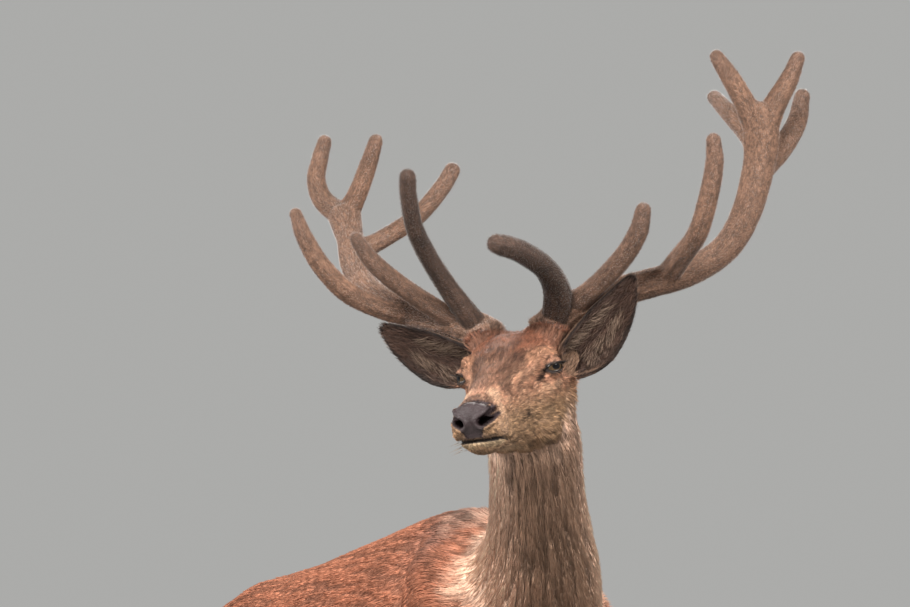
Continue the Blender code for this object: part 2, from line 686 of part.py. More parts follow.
def antler(word, side):
    """The beam in two lengths, then each tine cut to what it grows from."""
    beam_rows = ANTLERS[word]["beam"]
    step = 2
    rows = world_rows(beam_rows, side, (len(beam_rows) - 1) * step + 1)
    at = BEAM_CUT_ROW * step
    ahead = rows[at + 1, :3] - rows[at - 1, :3]
    ahead /= np.linalg.norm(ahead)
    lower = tube(f"antler_{word}_beam_lower", rows, PARTS)
    upper = tube(f"antler_{word}_beam_upper", rows, PARTS)
    before = half_space(f"before_cut_{word}", rows[at, :3] - ahead * GAP / 2, -ahead)
    after = half_space(f"after_cut_{word}", rows[at, :3] + ahead * GAP / 2, ahead)
    cut(lower, before, "INTERSECT")
    cut(upper, after, "INTERSECT")
    taken = [tube(f"antler_{word}_beam_grown", rows, CUTTERS, GAP)]
    head = bpy.data.objects["head"]
    foot = rows[: 2 * step].copy()
    down = foot[0, :3] - foot[1, :3]
    foot[0, :3] += down / np.linalg.norm(down) * SOCKET_GAP
    socket = tube(f"socket_{word}", foot, CUTTERS, SOCKET_GAP, round_end=False)
    cut(head, socket)
    settle(head)
    finished(lower, "velvet")
    finished(upper, "velvet")
    for tine, tine_rows in ANTLERS[word].items():
        if tine == "beam":
            continue
        rows = world_rows(tine_rows, side, len(tine_rows) + 2)
        piece = tube(f"antler_{word}_{tine}", rows, PARTS)
        for cutter in taken:
            cut(piece, cutter)
        taken.append(tube(f"antler_{word}_{tine}_grown", rows, CUTTERS, GAP))
        finished(piece, "velvet")


def build():
    body = whole_body()
    lower_legs(body)
    thighs(body)
    head_parts(body)
    part_off(body, "tail", half_space("zone_tail", (-1.118, 0.0, 0.40), (-1.0, 0.0, 0.12)), "coat")
    part_off(body, "neck", half_space("zone_neck", (0.115, 0.0, 0.615), (0.80, -0.04, 0.60)), "neck_coat")
    body.name = "trunk"
    finished(kept_in(body, PARTS), "coat")
    for word, side in (("left", 1), ("right", -1)):
        antler(word, side)
        finished(ear(word, side), "ear")


build()
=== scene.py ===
"""The looks of a red deer stag in velvet, lying down with its head raised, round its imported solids.

Metres, +X forward along the body, +Y to its left, +Z up, the floor at z = 0. Skin, coat, velvet and hooves
are worked out from the same sections as the solids, drawn in by the depth of the coat.
"""

import math

import bmesh
import bpy
import numpy as np
from mathutils import Matrix, Vector


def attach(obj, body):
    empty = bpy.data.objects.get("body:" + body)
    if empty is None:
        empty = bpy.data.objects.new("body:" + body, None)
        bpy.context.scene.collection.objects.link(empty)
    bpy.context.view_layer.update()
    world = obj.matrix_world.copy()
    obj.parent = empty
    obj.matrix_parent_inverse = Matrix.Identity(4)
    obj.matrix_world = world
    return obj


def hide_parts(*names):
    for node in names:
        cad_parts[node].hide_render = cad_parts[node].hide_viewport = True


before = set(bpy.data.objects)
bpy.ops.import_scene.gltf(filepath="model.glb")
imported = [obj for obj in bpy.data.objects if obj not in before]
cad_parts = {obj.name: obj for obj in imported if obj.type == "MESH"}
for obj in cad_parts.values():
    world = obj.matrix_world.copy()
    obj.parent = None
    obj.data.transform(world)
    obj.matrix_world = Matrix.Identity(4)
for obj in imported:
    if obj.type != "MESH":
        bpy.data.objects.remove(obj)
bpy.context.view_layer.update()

SIDES = (("left", 1), ("right", -1))

# The head's own frame has its origin midway between the eyes.
HEAD_AT = (0.525, -0.275, 0.875)
HEAD_TURN = (-45.5, -10.5, 6.0)  # degrees: towards its left, nose up, left side up

# Sections of the trunk: x, top, widest level, bottom, half width, fullness of the upper half.
TRUNK = (
    (0.315, 0.400, 0.310, 0.220, 0.050, 2.0),
    (0.285, 0.465, 0.310, 0.150, 0.095, 2.0),
    (0.220, 0.545, 0.320, 0.075, 0.135, 2.0),
    (0.120, 0.622, 0.330, 0.022, 0.170, 1.9),
    (0.000, 0.668, 0.330, -0.006, 0.196, 1.75),
    (-0.140, 0.668, 0.320, -0.010, 0.214, 1.75),
    (-0.340, 0.628, 0.300, -0.010, 0.236, 1.9),
    (-0.550, 0.588, 0.285, -0.010, 0.248, 2.0),
    (-0.740, 0.562, 0.285, -0.006, 0.232, 1.95),
    (-0.890, 0.536, 0.290, 0.006, 0.200, 1.85),
    (-1.000, 0.490, 0.285, 0.035, 0.165, 1.9),
    (-1.080, 0.425, 0.280, 0.095, 0.118, 2.0),
    (-1.120, 0.360, 0.275, 0.180, 0.055, 2.0),
)
# Along the neck: x, y, z, half width, reach to the nape, reach to the throat.
NECK = (
    (0.020, 0.000, 0.420, 0.150, 0.215, 0.200),
    (0.130, 0.000, 0.475, 0.132, 0.175, 0.185),
    (0.250, -0.045, 0.565, 0.104, 0.128, 0.140),
    (0.360, -0.115, 0.665, 0.086, 0.100, 0.105),
    (0.443, -0.174, 0.765, 0.085, 0.086, 0.088),
    (0.488, -0.217, 0.835, 0.086, 0.080, 0.070),
)
# Sections of the head in its own frame: x, top, widest level, bottom, half width, fullness of the upper half.
HEAD = (
    (-0.150, 0.030, -0.005, -0.045, 0.042, 2.0),
    (-0.135, 0.053, -0.010, -0.078, 0.067, 2.1),
    (-0.100, 0.067, -0.012, -0.112, 0.080, 2.3),
    (-0.055, 0.065, -0.015, -0.137, 0.086, 2.5),
    (-0.010, 0.055, -0.020, -0.140, 0.083, 2.6),
    (0.035, 0.044, -0.028, -0.133, 0.068, 2.5),
    (0.085, 0.026, -0.045, -0.122, 0.053, 2.4),
    (0.135, 0.008, -0.055, -0.118, 0.045, 2.4),
    (0.185, -0.006, -0.058, -0.113, 0.045, 2.4),
    (0.225, -0.018, -0.062, -0.110, 0.047, 2.4),
    (0.250, -0.032, -0.064, -0.099, 0.040, 2.3),
    (0.263, -0.050, -0.066, -0.085, 0.024, 2.0),
)
PEDICLE = ((-0.092, 0.050, 0.020, 0.034), (-0.100, 0.058, 0.045, 0.037), (-0.108, 0.067, 0.064, 0.036))

# Limbs of the left side: x, y, z, half width, half height. The right side is mirrored and drawn back.
SHOULDER = (
    (-0.060, 0.080, 0.575, 0.040, 0.050),
    (0.000, 0.118, 0.520, 0.056, 0.085),
    (0.090, 0.142, 0.410, 0.064, 0.095),
    (0.170, 0.152, 0.310, 0.062, 0.080),
    (0.170, 0.160, 0.235, 0.060, 0.070),
    (0.100, 0.172, 0.185, 0.056, 0.066),
    (0.020, 0.180, 0.160, 0.050, 0.060),
    (-0.030, 0.182, 0.148, 0.034, 0.040),
)
FOREARM = (
    (-0.035, 0.183, 0.140, 0.026, 0.030),
    (0.010, 0.183, 0.140, 0.046, 0.056),
    (0.080, 0.182, 0.132, 0.045, 0.055),
    (0.170, 0.178, 0.117, 0.036, 0.043),
    (0.260, 0.172, 0.102, 0.029, 0.033),
    (0.315, 0.168, 0.093, 0.031, 0.034),
    (0.350, 0.165, 0.080, 0.032, 0.036),
    (0.368, 0.163, 0.058, 0.026, 0.032),
)
FORE_CANNON = (
    (0.366, 0.163, 0.056, 0.024, 0.026),
    (0.330, 0.163, 0.034, 0.028, 0.034),
    (0.260, 0.164, 0.024, 0.021, 0.025),
    (0.170, 0.166, 0.021, 0.019, 0.023),
    (0.110, 0.168, 0.023, 0.022, 0.026),
    (0.080, 0.170, 0.027, 0.025, 0.030),
    (0.040, 0.172, 0.036, 0.022, 0.024),
    (0.010, 0.174, 0.042, 0.023, 0.023),
)
THIGH = (
    (-0.990, 0.085, 0.375, 0.060, 0.085),
    (-0.920, 0.115, 0.350, 0.095, 0.140),
    (-0.820, 0.150, 0.310, 0.102, 0.160),
    (-0.710, 0.180, 0.260, 0.094, 0.142),
    (-0.610, 0.205, 0.205, 0.075, 0.105),
    (-0.540, 0.220, 0.170, 0.055, 0.070),
    (-0.505, 0.225, 0.155, 0.030, 0.035),
)
GASKIN = (
    (-0.530, 0.222, 0.155, 0.045, 0.060),
    (-0.600, 0.232, 0.150, 0.062, 0.085),
    (-0.700, 0.240, 0.132, 0.056, 0.072),
    (-0.800, 0.245, 0.112, 0.040, 0.050),
    (-0.880, 0.247, 0.098, 0.030, 0.036),
    (-0.945, 0.248, 0.088, 0.027, 0.036),
    (-0.975, 0.248, 0.078, 0.020, 0.026),
)
HIND_CANNON = (
    (-0.974, 0.249, 0.064, 0.020, 0.024),
    (-0.945, 0.250, 0.042, 0.030, 0.040),
    (-0.900, 0.252, 0.030, 0.030, 0.034),
    (-0.800, 0.258, 0.022, 0.022, 0.027),
    (-0.700, 0.264, 0.021, 0.020, 0.025),
    (-0.620, 0.270, 0.023, 0.024, 0.028),
    (-0.585, 0.273, 0.026, 0.026, 0.030),
    (-0.540, 0.276, 0.034, 0.022, 0.024),
    (-0.510, 0.278, 0.038, 0.023, 0.023),
)
RIGHT_BACK = {"foreleg": 0.022, "hindleg": -0.018}
# Hooves: where the two claws grow, and the direction they point.
FORE_HOOF = ((0.012, 0.174, 0.042), (-0.990, 0.020, -0.120))
HIND_HOOF = ((-0.512, 0.278, 0.038), (0.985, 0.020, -0.150))
CLAW = (  # along the claw: distance, half width, half height
    (-0.006, 0.0125, 0.020), (0.016, 0.0140, 0.021), (0.045, 0.0140, 0.0185), (0.070, 0.0105, 0.0130),
    (0.082, 0.0050, 0.0070),
)
CLAW_APART = 0.0160
DEWCLAW_LENGTH = 0.026
DEWCLAW_RADIUS = 0.0095

TAIL = (
    (-1.060, 0.0, 0.430, 0.034, 0.026, 0.026),
    (-1.105, 0.0, 0.412, 0.030, 0.022, 0.024),
    (-1.150, 0.0, 0.355, 0.028, 0.018, 0.022),
    (-1.168, 0.0, 0.295, 0.022, 0.014, 0.018),
    (-1.172, 0.0, 0.255, 0.010, 0.007, 0.009),
)

EYE_AT = (-0.014, 0.0730, 0.000)
# Ears in the head's frame, y outwards: base, direction of the tip, direction of the opening, half width.
EARS = {
    "left": ((-0.080, 0.080, -0.012), (-0.09, 0.72, 0.69), (0.92, 0.36, -0.24), 0.043),
    "right": ((-0.088, 0.069, 0.004), (-0.04, 0.88, 0.47), (0.95, -0.20, -0.15), 0.042),
}
EAR_LENGTH = 0.200
EAR_BEND = 0.006
EAR_BOW = 0.014  # the lower edge is the rounder one

# Antlers in the head's frame, y outwards: x, y, z, radius.
ANTLERS = {
    "left": {
        "beam": (
            (-0.103, 0.060, 0.052, 0.036), (-0.109, 0.066, 0.066, 0.034), (-0.118, 0.096, 0.086, 0.032),
            (-0.140, 0.150, 0.098, 0.029), (-0.185, 0.220, 0.107, 0.027), (-0.245, 0.287, 0.115, 0.026),
            (-0.310, 0.341, 0.142, 0.026), (-0.370, 0.374, 0.194, 0.027), (-0.420, 0.398, 0.270, 0.029),
            (-0.440, 0.407, 0.325, 0.033), (-0.446, 0.406, 0.358, 0.029),
        ),
        "brow": (
            (-0.100, 0.076, 0.080, 0.027), (-0.066, 0.092, 0.125, 0.025), (-0.018, 0.091, 0.168, 0.021),
            (0.050, 0.070, 0.208, 0.020), (0.104, 0.045, 0.230, 0.018),
        ),
        "bez": (
            (-0.112, 0.100, 0.090, 0.022), (-0.100, 0.155, 0.122, 0.020), (-0.090, 0.210, 0.164, 0.019),
            (-0.087, 0.245, 0.205, 0.018), (-0.088, 0.260, 0.242, 0.015),
        ),
        "trez": (
            (-0.215, 0.252, 0.112, 0.022), (-0.180, 0.285, 0.140, 0.021), (-0.150, 0.332, 0.183, 0.019),
            (-0.142, 0.362, 0.240, 0.018), (-0.148, 0.382, 0.300, 0.017), (-0.148, 0.387, 0.342, 0.014),
        ),
        "crown_inner": (
            (-0.438, 0.404, 0.330, 0.027), (-0.442, 0.386, 0.385, 0.021), (-0.450, 0.364, 0.436, 0.018),
            (-0.460, 0.343, 0.474, 0.014),
        ),
        "crown_outer": (
            (-0.442, 0.410, 0.330, 0.027), (-0.458, 0.434, 0.373, 0.022), (-0.482, 0.462, 0.414, 0.018),
            (-0.500, 0.480, 0.450, 0.014),
        ),
        "crown_back": (
            (-0.430, 0.402, 0.285, 0.022), (-0.480, 0.376, 0.325, 0.019), (-0.540, 0.333, 0.368, 0.017),
            (-0.595, 0.297, 0.398, 0.014),
        ),
        "crown_rear": (
            (-0.430, 0.396, 0.260, 0.022), (-0.500, 0.424, 0.292, 0.021), (-0.565, 0.446, 0.331, 0.019),
            (-0.615, 0.454, 0.377, 0.015),
        ),
    },
    "right": {
        "beam": (
            (-0.103, 0.060, 0.052, 0.036), (-0.109, 0.066, 0.066, 0.034), (-0.118, 0.098, 0.082, 0.032),
            (-0.140, 0.150, 0.096, 0.029), (-0.190, 0.232, 0.122, 0.026), (-0.255, 0.305, 0.160, 0.025),
            (-0.315, 0.340, 0.200, 0.025), (-0.370, 0.357, 0.243, 0.025), (-0.415, 0.374, 0.283, 0.030),
            (-0.424, 0.377, 0.292, 0.022),
        ),
        "brow": (
            (-0.100, 0.070, 0.080, 0.023), (-0.070, 0.105, 0.160, 0.019), (-0.010, 0.125, 0.255, 0.017),
            (0.022, 0.121, 0.320, 0.016), (0.038, 0.113, 0.360, 0.0155),
        ),
        "bez": (
            (-0.112, 0.105, 0.088, 0.021), (-0.100, 0.158, 0.134, 0.019), (-0.090, 0.209, 0.184, 0.018),
            (-0.088, 0.242, 0.225, 0.016), (-0.090, 0.260, 0.260, 0.0125),
        ),
        "trez": (
            (-0.165, 0.200, 0.108, 0.020), (-0.163, 0.245, 0.122, 0.020), (-0.155, 0.308, 0.162, 0.020),
            (-0.145, 0.348, 0.218, 0.018), (-0.146, 0.371, 0.272, 0.016), (-0.150, 0.382, 0.314, 0.012),
        ),
        "crown_inner": (
            (-0.420, 0.372, 0.285, 0.024), (-0.428, 0.348, 0.320, 0.019), (-0.445, 0.326, 0.366, 0.017),
            (-0.460, 0.308, 0.410, 0.014),
        ),
        "crown_outer": (
            (-0.418, 0.378, 0.285, 0.024), (-0.436, 0.416, 0.316, 0.020), (-0.455, 0.430, 0.354, 0.018),
            (-0.480, 0.424, 0.392, 0.016), (-0.500, 0.417, 0.420, 0.014),
        ),
        "crown_back": (
            (-0.345, 0.346, 0.218, 0.021), (-0.400, 0.302, 0.236, 0.018), (-0.460, 0.252, 0.264, 0.0175),
            (-0.515, 0.216, 0.304, 0.0165), (-0.548, 0.198, 0.334, 0.0155),
        ),
    },
}

# How deep the coat lies over the skin.
DEPTH = {"trunk": 0.007, "neck": 0.009, "head": 0.003, "leg": 0.0035, "tail": 0.010}
FLOOR_CLEAR = 0.0015
SKIN_VOXEL = 0.0100
HEAD_VOXEL = 0.0024
ANTLER_VOXEL = 0.0034
VELVET_DEPTH = 0.0012

# Fine forms of the head, in its frame with y outwards: a centre and three radii.
HEAD_BALLS = (
    ((0.252, 0.000, -0.046), (0.027, 0.036, 0.027)),
    ((0.226, 0.022, -0.066), (0.036, 0.023, 0.021)),
    ((0.206, 0.000, -0.098), (0.044, 0.026, 0.017)),
    ((-0.020, 0.046, -0.084), (0.060, 0.030, 0.048)),
)
BROW_FORM = ((-0.058, 0.074, -0.002, 0.0130), (-0.038, 0.0755, 0.0135, 0.0145),
             (-0.012, 0.0690, 0.0225, 0.0160), (0.014, 0.0620, 0.0180, 0.0155),
             (0.040, 0.0500, 0.0040, 0.0140), (0.060, 0.0400, -0.008, 0.0120))
EAR_ROOT = ((-0.104, 0.060, -0.062, 0.030), (-0.098, 0.071, -0.034, 0.026), (-0.092, 0.082, -0.008, 0.024),
            (-0.094, 0.104, 0.008, 0.014))


def turn(yaw, pitch, roll):
    """Columns are forward, left and up of a frame turned left, pitched nose up and rolled left side up."""
    a, b, c = (math.radians(v) for v in (yaw, pitch, roll))
    forward = np.array((math.cos(a) * math.cos(b), math.sin(a) * math.cos(b), math.sin(b)))
    level = np.array((-math.sin(a), math.cos(a), 0.0))
    left = math.cos(c) * level + math.sin(c) * np.cross(forward, level)
    return np.column_stack((forward, left, np.cross(forward, left)))


HEAD_AXES = turn(*HEAD_TURN)


def on_head(points, side=1):
    """World places of points in the head's frame, whose y points outwards on that side."""
    return (np.asarray(points, float) * (1, side, 1)) @ HEAD_AXES.T + np.array(HEAD_AT)


def to_head(points):
    """Places in the head's frame with y outwards, and the side, 1 or -1, each point is on."""
    local = (points - np.array(HEAD_AT)) @ HEAD_AXES
    side = np.where(local[:, 1] < 0, -1.0, 1.0)
    local[:, 1] *= side
    return local, side


def soft(values, low, high):
    """0 below low, 1 above high, and a smooth step between."""
    t = np.clip((values - low) / (high - low), 0, 1)
    return t * t * (3 - 2 * t)


def unit(vectors):
    """The vectors, each divided by its own length."""
    return vectors / np.maximum(np.linalg.norm(vectors, axis=-1, keepdims=True), 1e-9)


def tone(red, green, blue):
    """Linear colour from the 0 to 255 values of a screen colour."""
    s = np.array((red, green, blue)) / 255
    return np.where(s <= 0.04045, s / 12.92, ((s + 0.055) / 1.055) ** 2.4)


def noise(points, scale, seed):
    """Smooth noise from 0 to 1: scrambled values on a lattice of that cell size, blended between corners."""
    place = points / scale
    cell = np.floor(place).astype(np.int64)
    t = place - cell
    t = t * t * (3 - 2 * t)
    total = np.zeros(len(points))
    for corner in range(8):
        bit = np.array((corner & 1, corner >> 1 & 1, corner >> 2 & 1))
        key = (cell + bit) * (73856093, 19349663, 83492791)
        mixed = ((key[:, 0] ^ key[:, 1] ^ key[:, 2] ^ (seed * 9176)) & 0xFFFFFF) * 1103515245 + 12345
        total += np.prod(np.where(bit, t, 1 - t), axis=1) * ((mixed >> 9 & 0xFFFF) / 65535)
    return total


def flecks(points, size, seed):
    """Noise of two sizes drawn apart into light and dark flecks, from 0 to 1."""
    both = 0.6 * noise(points, size, seed) + 0.4 * noise(points, size * 0.5, seed + 1)
    return soft(both, 0.36, 0.64)


def spread(rows, count):
    """Rows between the given ones, evenly placed by their number, on a Catmull-Rom curve."""
    rows = np.asarray(rows, float)
    ends = np.vstack((2 * rows[0] - rows[1], rows, 2 * rows[-1] - rows[-2]))
    t = np.linspace(0, len(rows) - 1, count)
    i = np.minimum(t.astype(int), len(rows) - 2)
    s = (t - i)[:, None]
    a, b, c, d = (ends[i + k] for k in range(4))
    return 0.5 * (2 * b + (c - a) * s + (2 * a - 5 * b + 4 * c - d) * s**2 + (3 * b - a - 3 * c + d) * s**3)


def rings(centres, sides, ups, widths, highs, lows, fullness, around, below=2.3):
    """Superellipse rings: each round its centre, wide along side, high along up and low below it."""
    a = np.linspace(0, 2 * math.pi, around, endpoint=False)
    over = np.sin(a) > 0
    power = np.where(over, 2 / np.asarray(fullness, float)[:, None], 2 / below)
    across = np.sign(np.cos(a)) * np.abs(np.cos(a)) ** power * widths[:, None]
    upward = np.sign(np.sin(a)) * np.abs(np.sin(a)) ** power * np.where(over, highs[:, None], lows[:, None])
    return centres[:, None] + across[..., None] * sides[:, None] + upward[..., None] * ups[:, None]


def closed(points):
    """Points and faces of a closed skin over rings, with a pole in the middle of the first and last."""
    along, around = points.shape[:2]
    poles = np.stack((points[0].mean(0), points[-1].mean(0)))
    i, j = np.meshgrid(np.arange(along - 1), np.arange(around), indexing="ij")
    k = (j + 1) % around
    quads = np.stack((i * around + j, i * around + k, (i + 1) * around + k, (i + 1) * around + j), -1)
    j, k = j[0], k[0]
    first, end = along * around, (along - 1) * around
    start = np.stack((np.full(around, first), k, j), -1)
    finish = np.stack((np.full(around, first + 1), end + j, end + k), -1)
    faces = quads.reshape(-1, 4).tolist() + start.tolist() + finish.tolist()
    return np.vstack((points.reshape(-1, 3), poles)), faces


def upright(rows, along, around, less):
    """A body over upright sections: x, top, widest level, bottom, half width, fullness; drawn in by less."""
    x, top, middle, bottom, width, full = spread(rows, along).T
    centres = np.stack((x, 0 * x, middle), -1)
    sides, ups = np.tile((0.0, 1.0, 0.0), (along, 1)), np.tile((0.0, 0.0, 1.0), (along, 1))
    points = rings(centres, sides, ups, width - less, top - middle - less, middle - bottom - less,
                   full, around)
    return closed(points[:, ::-1] if x[-1] < x[0] else points)


def frames(path, start=(0.0, 0.0, 1.0)):
    """Ahead, side and up along a path: level at its start, then turned no more than the path turns them."""
    ahead = unit(np.gradient(path, axis=0))
    sides, side = np.empty_like(ahead), np.cross(start, ahead[0])
    for k, tangent in enumerate(ahead):
        side = side - (side @ tangent) * tangent
        side = side / np.linalg.norm(side)
        sides[k] = side
    return ahead, sides, np.cross(ahead, sides)


def limb(rows, along, around, less=0.0):
    """A body along a path: x, y, z, half width, then reach above and below, or one half height."""
    rows = spread([row if len(row) == 6 else (*row, row[4]) for row in rows], along)
    _, sides, ups = frames(rows[:, :3])
    width, high, low = (np.maximum(rows[:, k] - less, 0.003) for k in (3, 4, 5))
    return closed(rings(rows[:, :3], sides, ups, width, high, low, np.full(along, 2.0), around))


def round_limb(rows, along, around, less=0.0):
    return limb([(x, y, z, r, r) for x, y, z, r in rows], along, around, less)


def tine(rows, along, around, less=0.0):
    """A round tube along world rows of x, y, z, radius, closed by half a ball at its tip."""
    rows = spread(rows, along)
    path, radius = rows[:, :3], rows[:, 3] - less
    ahead = unit(path[-1] - path[-2])
    a = np.linspace(0, math.pi / 2, 6)[1:] * 0.97
    path = np.vstack((path, path[-1] + ahead * radius[-1] * np.sin(a)[:, None]))
    radius = np.concatenate((radius, radius[-1] * np.cos(a)))
    _, sides, ups = frames(path, (0.31, 0.77, 0.52))
    return closed(rings(path, sides, ups, radius, radius, radius, np.full(len(path), 2.0), around, 2.0))


def ball(centre, radii, side=1, around=32):
    """An ellipsoid on the head, as rings from back to front."""
    a = np.linspace(0, math.pi, around // 2 + 1)[1:-1]
    b = np.linspace(0, 2 * math.pi, around, endpoint=False)
    x = -np.cos(a)[:, None] + 0 * b
    shape = np.stack((x, np.sin(a)[:, None] * np.cos(b), np.sin(a)[:, None] * np.sin(b)), -1)
    return placed_on_head(closed(np.array(centre) + shape * np.array(radii)), side)


def mirrored(skin, back=0.0):
    points, faces = skin
    return points * (1, -1, 1) - (back, 0, 0), [face[::-1] for face in faces]


def placed_on_head(skin, side=1):
    """The skin moved from the head's frame to its world place."""
    points, faces = skin
    return on_head(points, side), [face[::-1] for face in faces] if side < 0 else faces


def made(name, mesh):
    thing = bpy.data.objects.new(name, mesh)
    bpy.context.scene.collection.objects.link(thing)
    return thing


def from_skins(name, skins):
    """One object holding several closed skins."""
    points, faces, count = [], [], 0
    for skin_points, skin_faces in skins:
        points.append(skin_points)
        faces += [tuple(corner + count for corner in face) for face in skin_faces]
        count += len(skin_points)
    mesh = bpy.data.meshes.new(name)
    mesh.from_pydata(np.vstack(points).tolist(), [], faces)
    return made(name, mesh)


def settle(thing):
    """Apply the object's modifiers."""
    bpy.context.view_layer.update()
    mesh = bpy.data.meshes.new_from_object(thing.evaluated_get(bpy.context.evaluated_depsgraph_get()))
    thing.modifiers.clear()
    old, thing.data = thing.data, mesh
    bpy.data.meshes.remove(old)
    return thing


def fuse(thing, voxel, smoothing):
    """Melt overlapping skins into one surface and smooth it."""
    remesh = thing.modifiers.new("fuse", "REMESH")
    remesh.mode = "VOXEL"
    remesh.voxel_size = voxel
    remesh.use_smooth_shade = True
    smooth = thing.modifiers.new("smooth", "SMOOTH")
    smooth.factor = 0.5
    smooth.iterations = smoothing
    return settle(thing)


def relaxed(thing, centre, radii, passes):
    """Smooth the surface inside an ellipsoid and its mirror image, most at its middle."""
    points = points_of(thing.data)
    one_side = points.copy()
    one_side[:, 1] = np.abs(points[:, 1])
    share = swell(one_side, np.array(centre), np.array(radii)) ** 0.5
    group = thing.vertex_groups.new(name="relaxed")
    for step in range(1, 11):
        group.add(np.flatnonzero(np.ceil(share * 10) == step).tolist(), step / 10, "REPLACE")
    smooth = thing.modifiers.new("smooth", "SMOOTH")
    smooth.factor = 0.5
    smooth.iterations = passes
    smooth.vertex_group = "relaxed"
    settle(thing)


def points_of(mesh):
    """The places of a mesh's corners, one row each."""
    flat = np.empty(len(mesh.vertices) * 3)
    mesh.vertices.foreach_get("co", flat)
    return flat.reshape(-1, 3)


def normals_of(mesh):
    """The directions that a mesh's corners face, one row each."""
    flat = np.empty(len(mesh.vertices) * 3)
    mesh.vertices.foreach_get("normal", flat)
    return flat.reshape(-1, 3)


def move_to(mesh, points):
    """Put a mesh's corners at new places."""
    mesh.vertices.foreach_set("co", np.ascontiguousarray(points, float).ravel())
    mesh.update()


def near_line(points, line):
    """Distance of each point from a bent line, and how far along it the nearest place is, 0 to 1."""
    line = np.asarray(line, float)
    best, where = np.full(len(points), np.inf), np.zeros(len(points))
    for k, (a, b) in enumerate(zip(line[:-1], line[1:])):
        t = np.clip(((points - a) @ (b - a)) / ((b - a) @ (b - a)), 0, 1)
        distance = np.linalg.norm(points - a - t[:, None] * (b - a), axis=1)
        where = np.where(distance < best, (k + t) / (len(line) - 1), where)
        best = np.minimum(distance, best)
    return best, where


def swell(points, centre, radii):
    """1 at the centre, falling smoothly to 0 on the ellipsoid of those radii."""
    q = (points - centre) / radii
    return np.clip(1 - (q * q).sum(1), 0, None) ** 2


# ---- guides: what each part of the surface follows, for the lie of the coat, its length and its unwrap ----

def guide(group, rows, count, flow=None, side=1, back=0.0, head=False):
    """A path with its radius and the way the coat lies along it."""
    rows = spread(rows, count)
    path, radius = rows[:, :3] * (1, side, 1) - (back, 0, 0), rows[:, 3:].mean(1)
    if head:
        path = on_head(rows[:, :3], side)
    ahead, sides, ups = frames(path, (0.31, 0.57, 0.62) if head else (0.0, 0.0, 1.0))
    lie = ahead if flow is None else np.tile(unit(np.array(flow, float)), (count, 1))
    return {"group": group, "path": path, "radius": radius, "lie": lie, "ahead": ahead,
            "sides": sides, "ups": ups, "length": np.linalg.norm(np.diff(path, axis=0), axis=1).sum()}


def centred(rows):
    """Sections as rows of x, y, z, radius."""
    return [(x, 0, (top + bottom) / 2, (width + (top - bottom) / 2) / 2)
            for x, top, _, bottom, width, _ in rows]


def all_guides():
    """The path of every part of the body, with the way the coat lies on it."""
    found = [guide("trunk", centred(TRUNK), 40, (-1, 0, -0.40)),
             guide("neck", [(x, y, z, w, h, d) for x, y, z, w, h, d in NECK], 24)]
    found[1]["lie"] = unit(-found[1]["ahead"] + (0, 0, -0.15))
    found.append(guide("head", centred(HEAD), 30, HEAD_AXES @ (-1, 0, -0.12), head=True))
    found.append(guide("tail", TAIL, 12))
    for _, side in SIDES:
        found.append(guide("pedicle", PEDICLE, 6, side=side, head=True))
        found.append(guide("shoulder", SHOULDER, 20, (-0.85, 0, -0.5), side))
        found.append(guide("thigh", THIGH, 20, (-0.80, 0, -0.55), side))
        for group, rows, leg in (("forearm", FOREARM, "foreleg"), ("fore_cannon", FORE_CANNON, "foreleg"),
                                 ("gaskin", GASKIN, "hindleg"), ("hind_cannon", HIND_CANNON, "hindleg")):
            found.append(guide(group, rows, 24, side=side, back=RIGHT_BACK[leg] if side < 0 else 0.0))
    for word, side in SIDES:
        base, tip, _, half = EARS[word]
        tip = np.array(tip) / np.linalg.norm(tip)
        rows = [(*(np.array(base) + tip * EAR_LENGTH * t), half * r)
                for t, r in ((0.12, 0.9), (0.4, 1.6), (0.7, 1.3), (1.0, 0.8))]
        found.append(guide("ear", rows, 20, side=side, head=True))
    return found


GUIDES = all_guides()
GROUPS = [g["group"] for g in GUIDES]


def survey(points, guides):
    """For each point: closeness to every guide, place along it and round it, and the coat's lie there."""
    count = len(points)
    weights, along, angle = (np.zeros((count, len(guides))) for _ in range(3))
    lie = np.zeros((count, 3))
    for g, guide_row in enumerate(guides):
        path = guide_row["path"]
        squared = (points**2).sum(1)[:, None] + (path**2).sum(1) - 2 * points @ path.T
        distance = np.sqrt(np.maximum(squared, 1e-8))
        near = np.argmin(distance, axis=1)
        ratio = guide_row["radius"][near] / distance[np.arange(count), near]
        weights[:, g] = ratio**6
        off = points - path[near]
        along[:, g] = near / (len(path) - 1) + (off * guide_row["ahead"][near]).sum(1) / guide_row["length"]
        angle[:, g] = np.arctan2((off * guide_row["ups"][near]).sum(1),
                                 (off * guide_row["sides"][near]).sum(1))
        lie += weights[:, g, None] * guide_row["lie"][near]
    return weights / weights.sum(1)[:, None], np.clip(along, 0, 1), angle, unit(lie)


# ---- the skin ----

def ear_sheet(word, u, v):
    """The middle surface of an ear in the head's frame: a rolled leaf, u base to tip, v edge to edge."""
    base, tip, opening, half_width = (np.array(value, float) for value in EARS[word])
    tip /= np.linalg.norm(tip)
    opening -= tip * (opening @ tip)
    opening /= np.linalg.norm(opening)
    across = np.cross(opening, tip)
    width = half_width * (0.5 + 0.5 * np.sin(math.pi * u**0.8)) * np.sqrt(np.maximum(1 - u**4, 0)) + 0.002
    roll = np.radians(128 - 70 * np.minimum(u * 1.8, 1))
    sweep = width / np.maximum(np.sin(np.minimum(roll, math.pi / 2)), 0.5)
    out, rise = sweep * np.sin(roll * v), sweep * (1 - np.cos(roll * v)) * 0.85
    bow = np.sin(math.pi * u)[..., None]
    middle = base + tip * EAR_LENGTH * u[..., None] - opening * EAR_BEND * bow**2 - across * EAR_BOW * bow
    return middle + across * out[..., None] + opening * (rise[..., None] - 0.018), opening


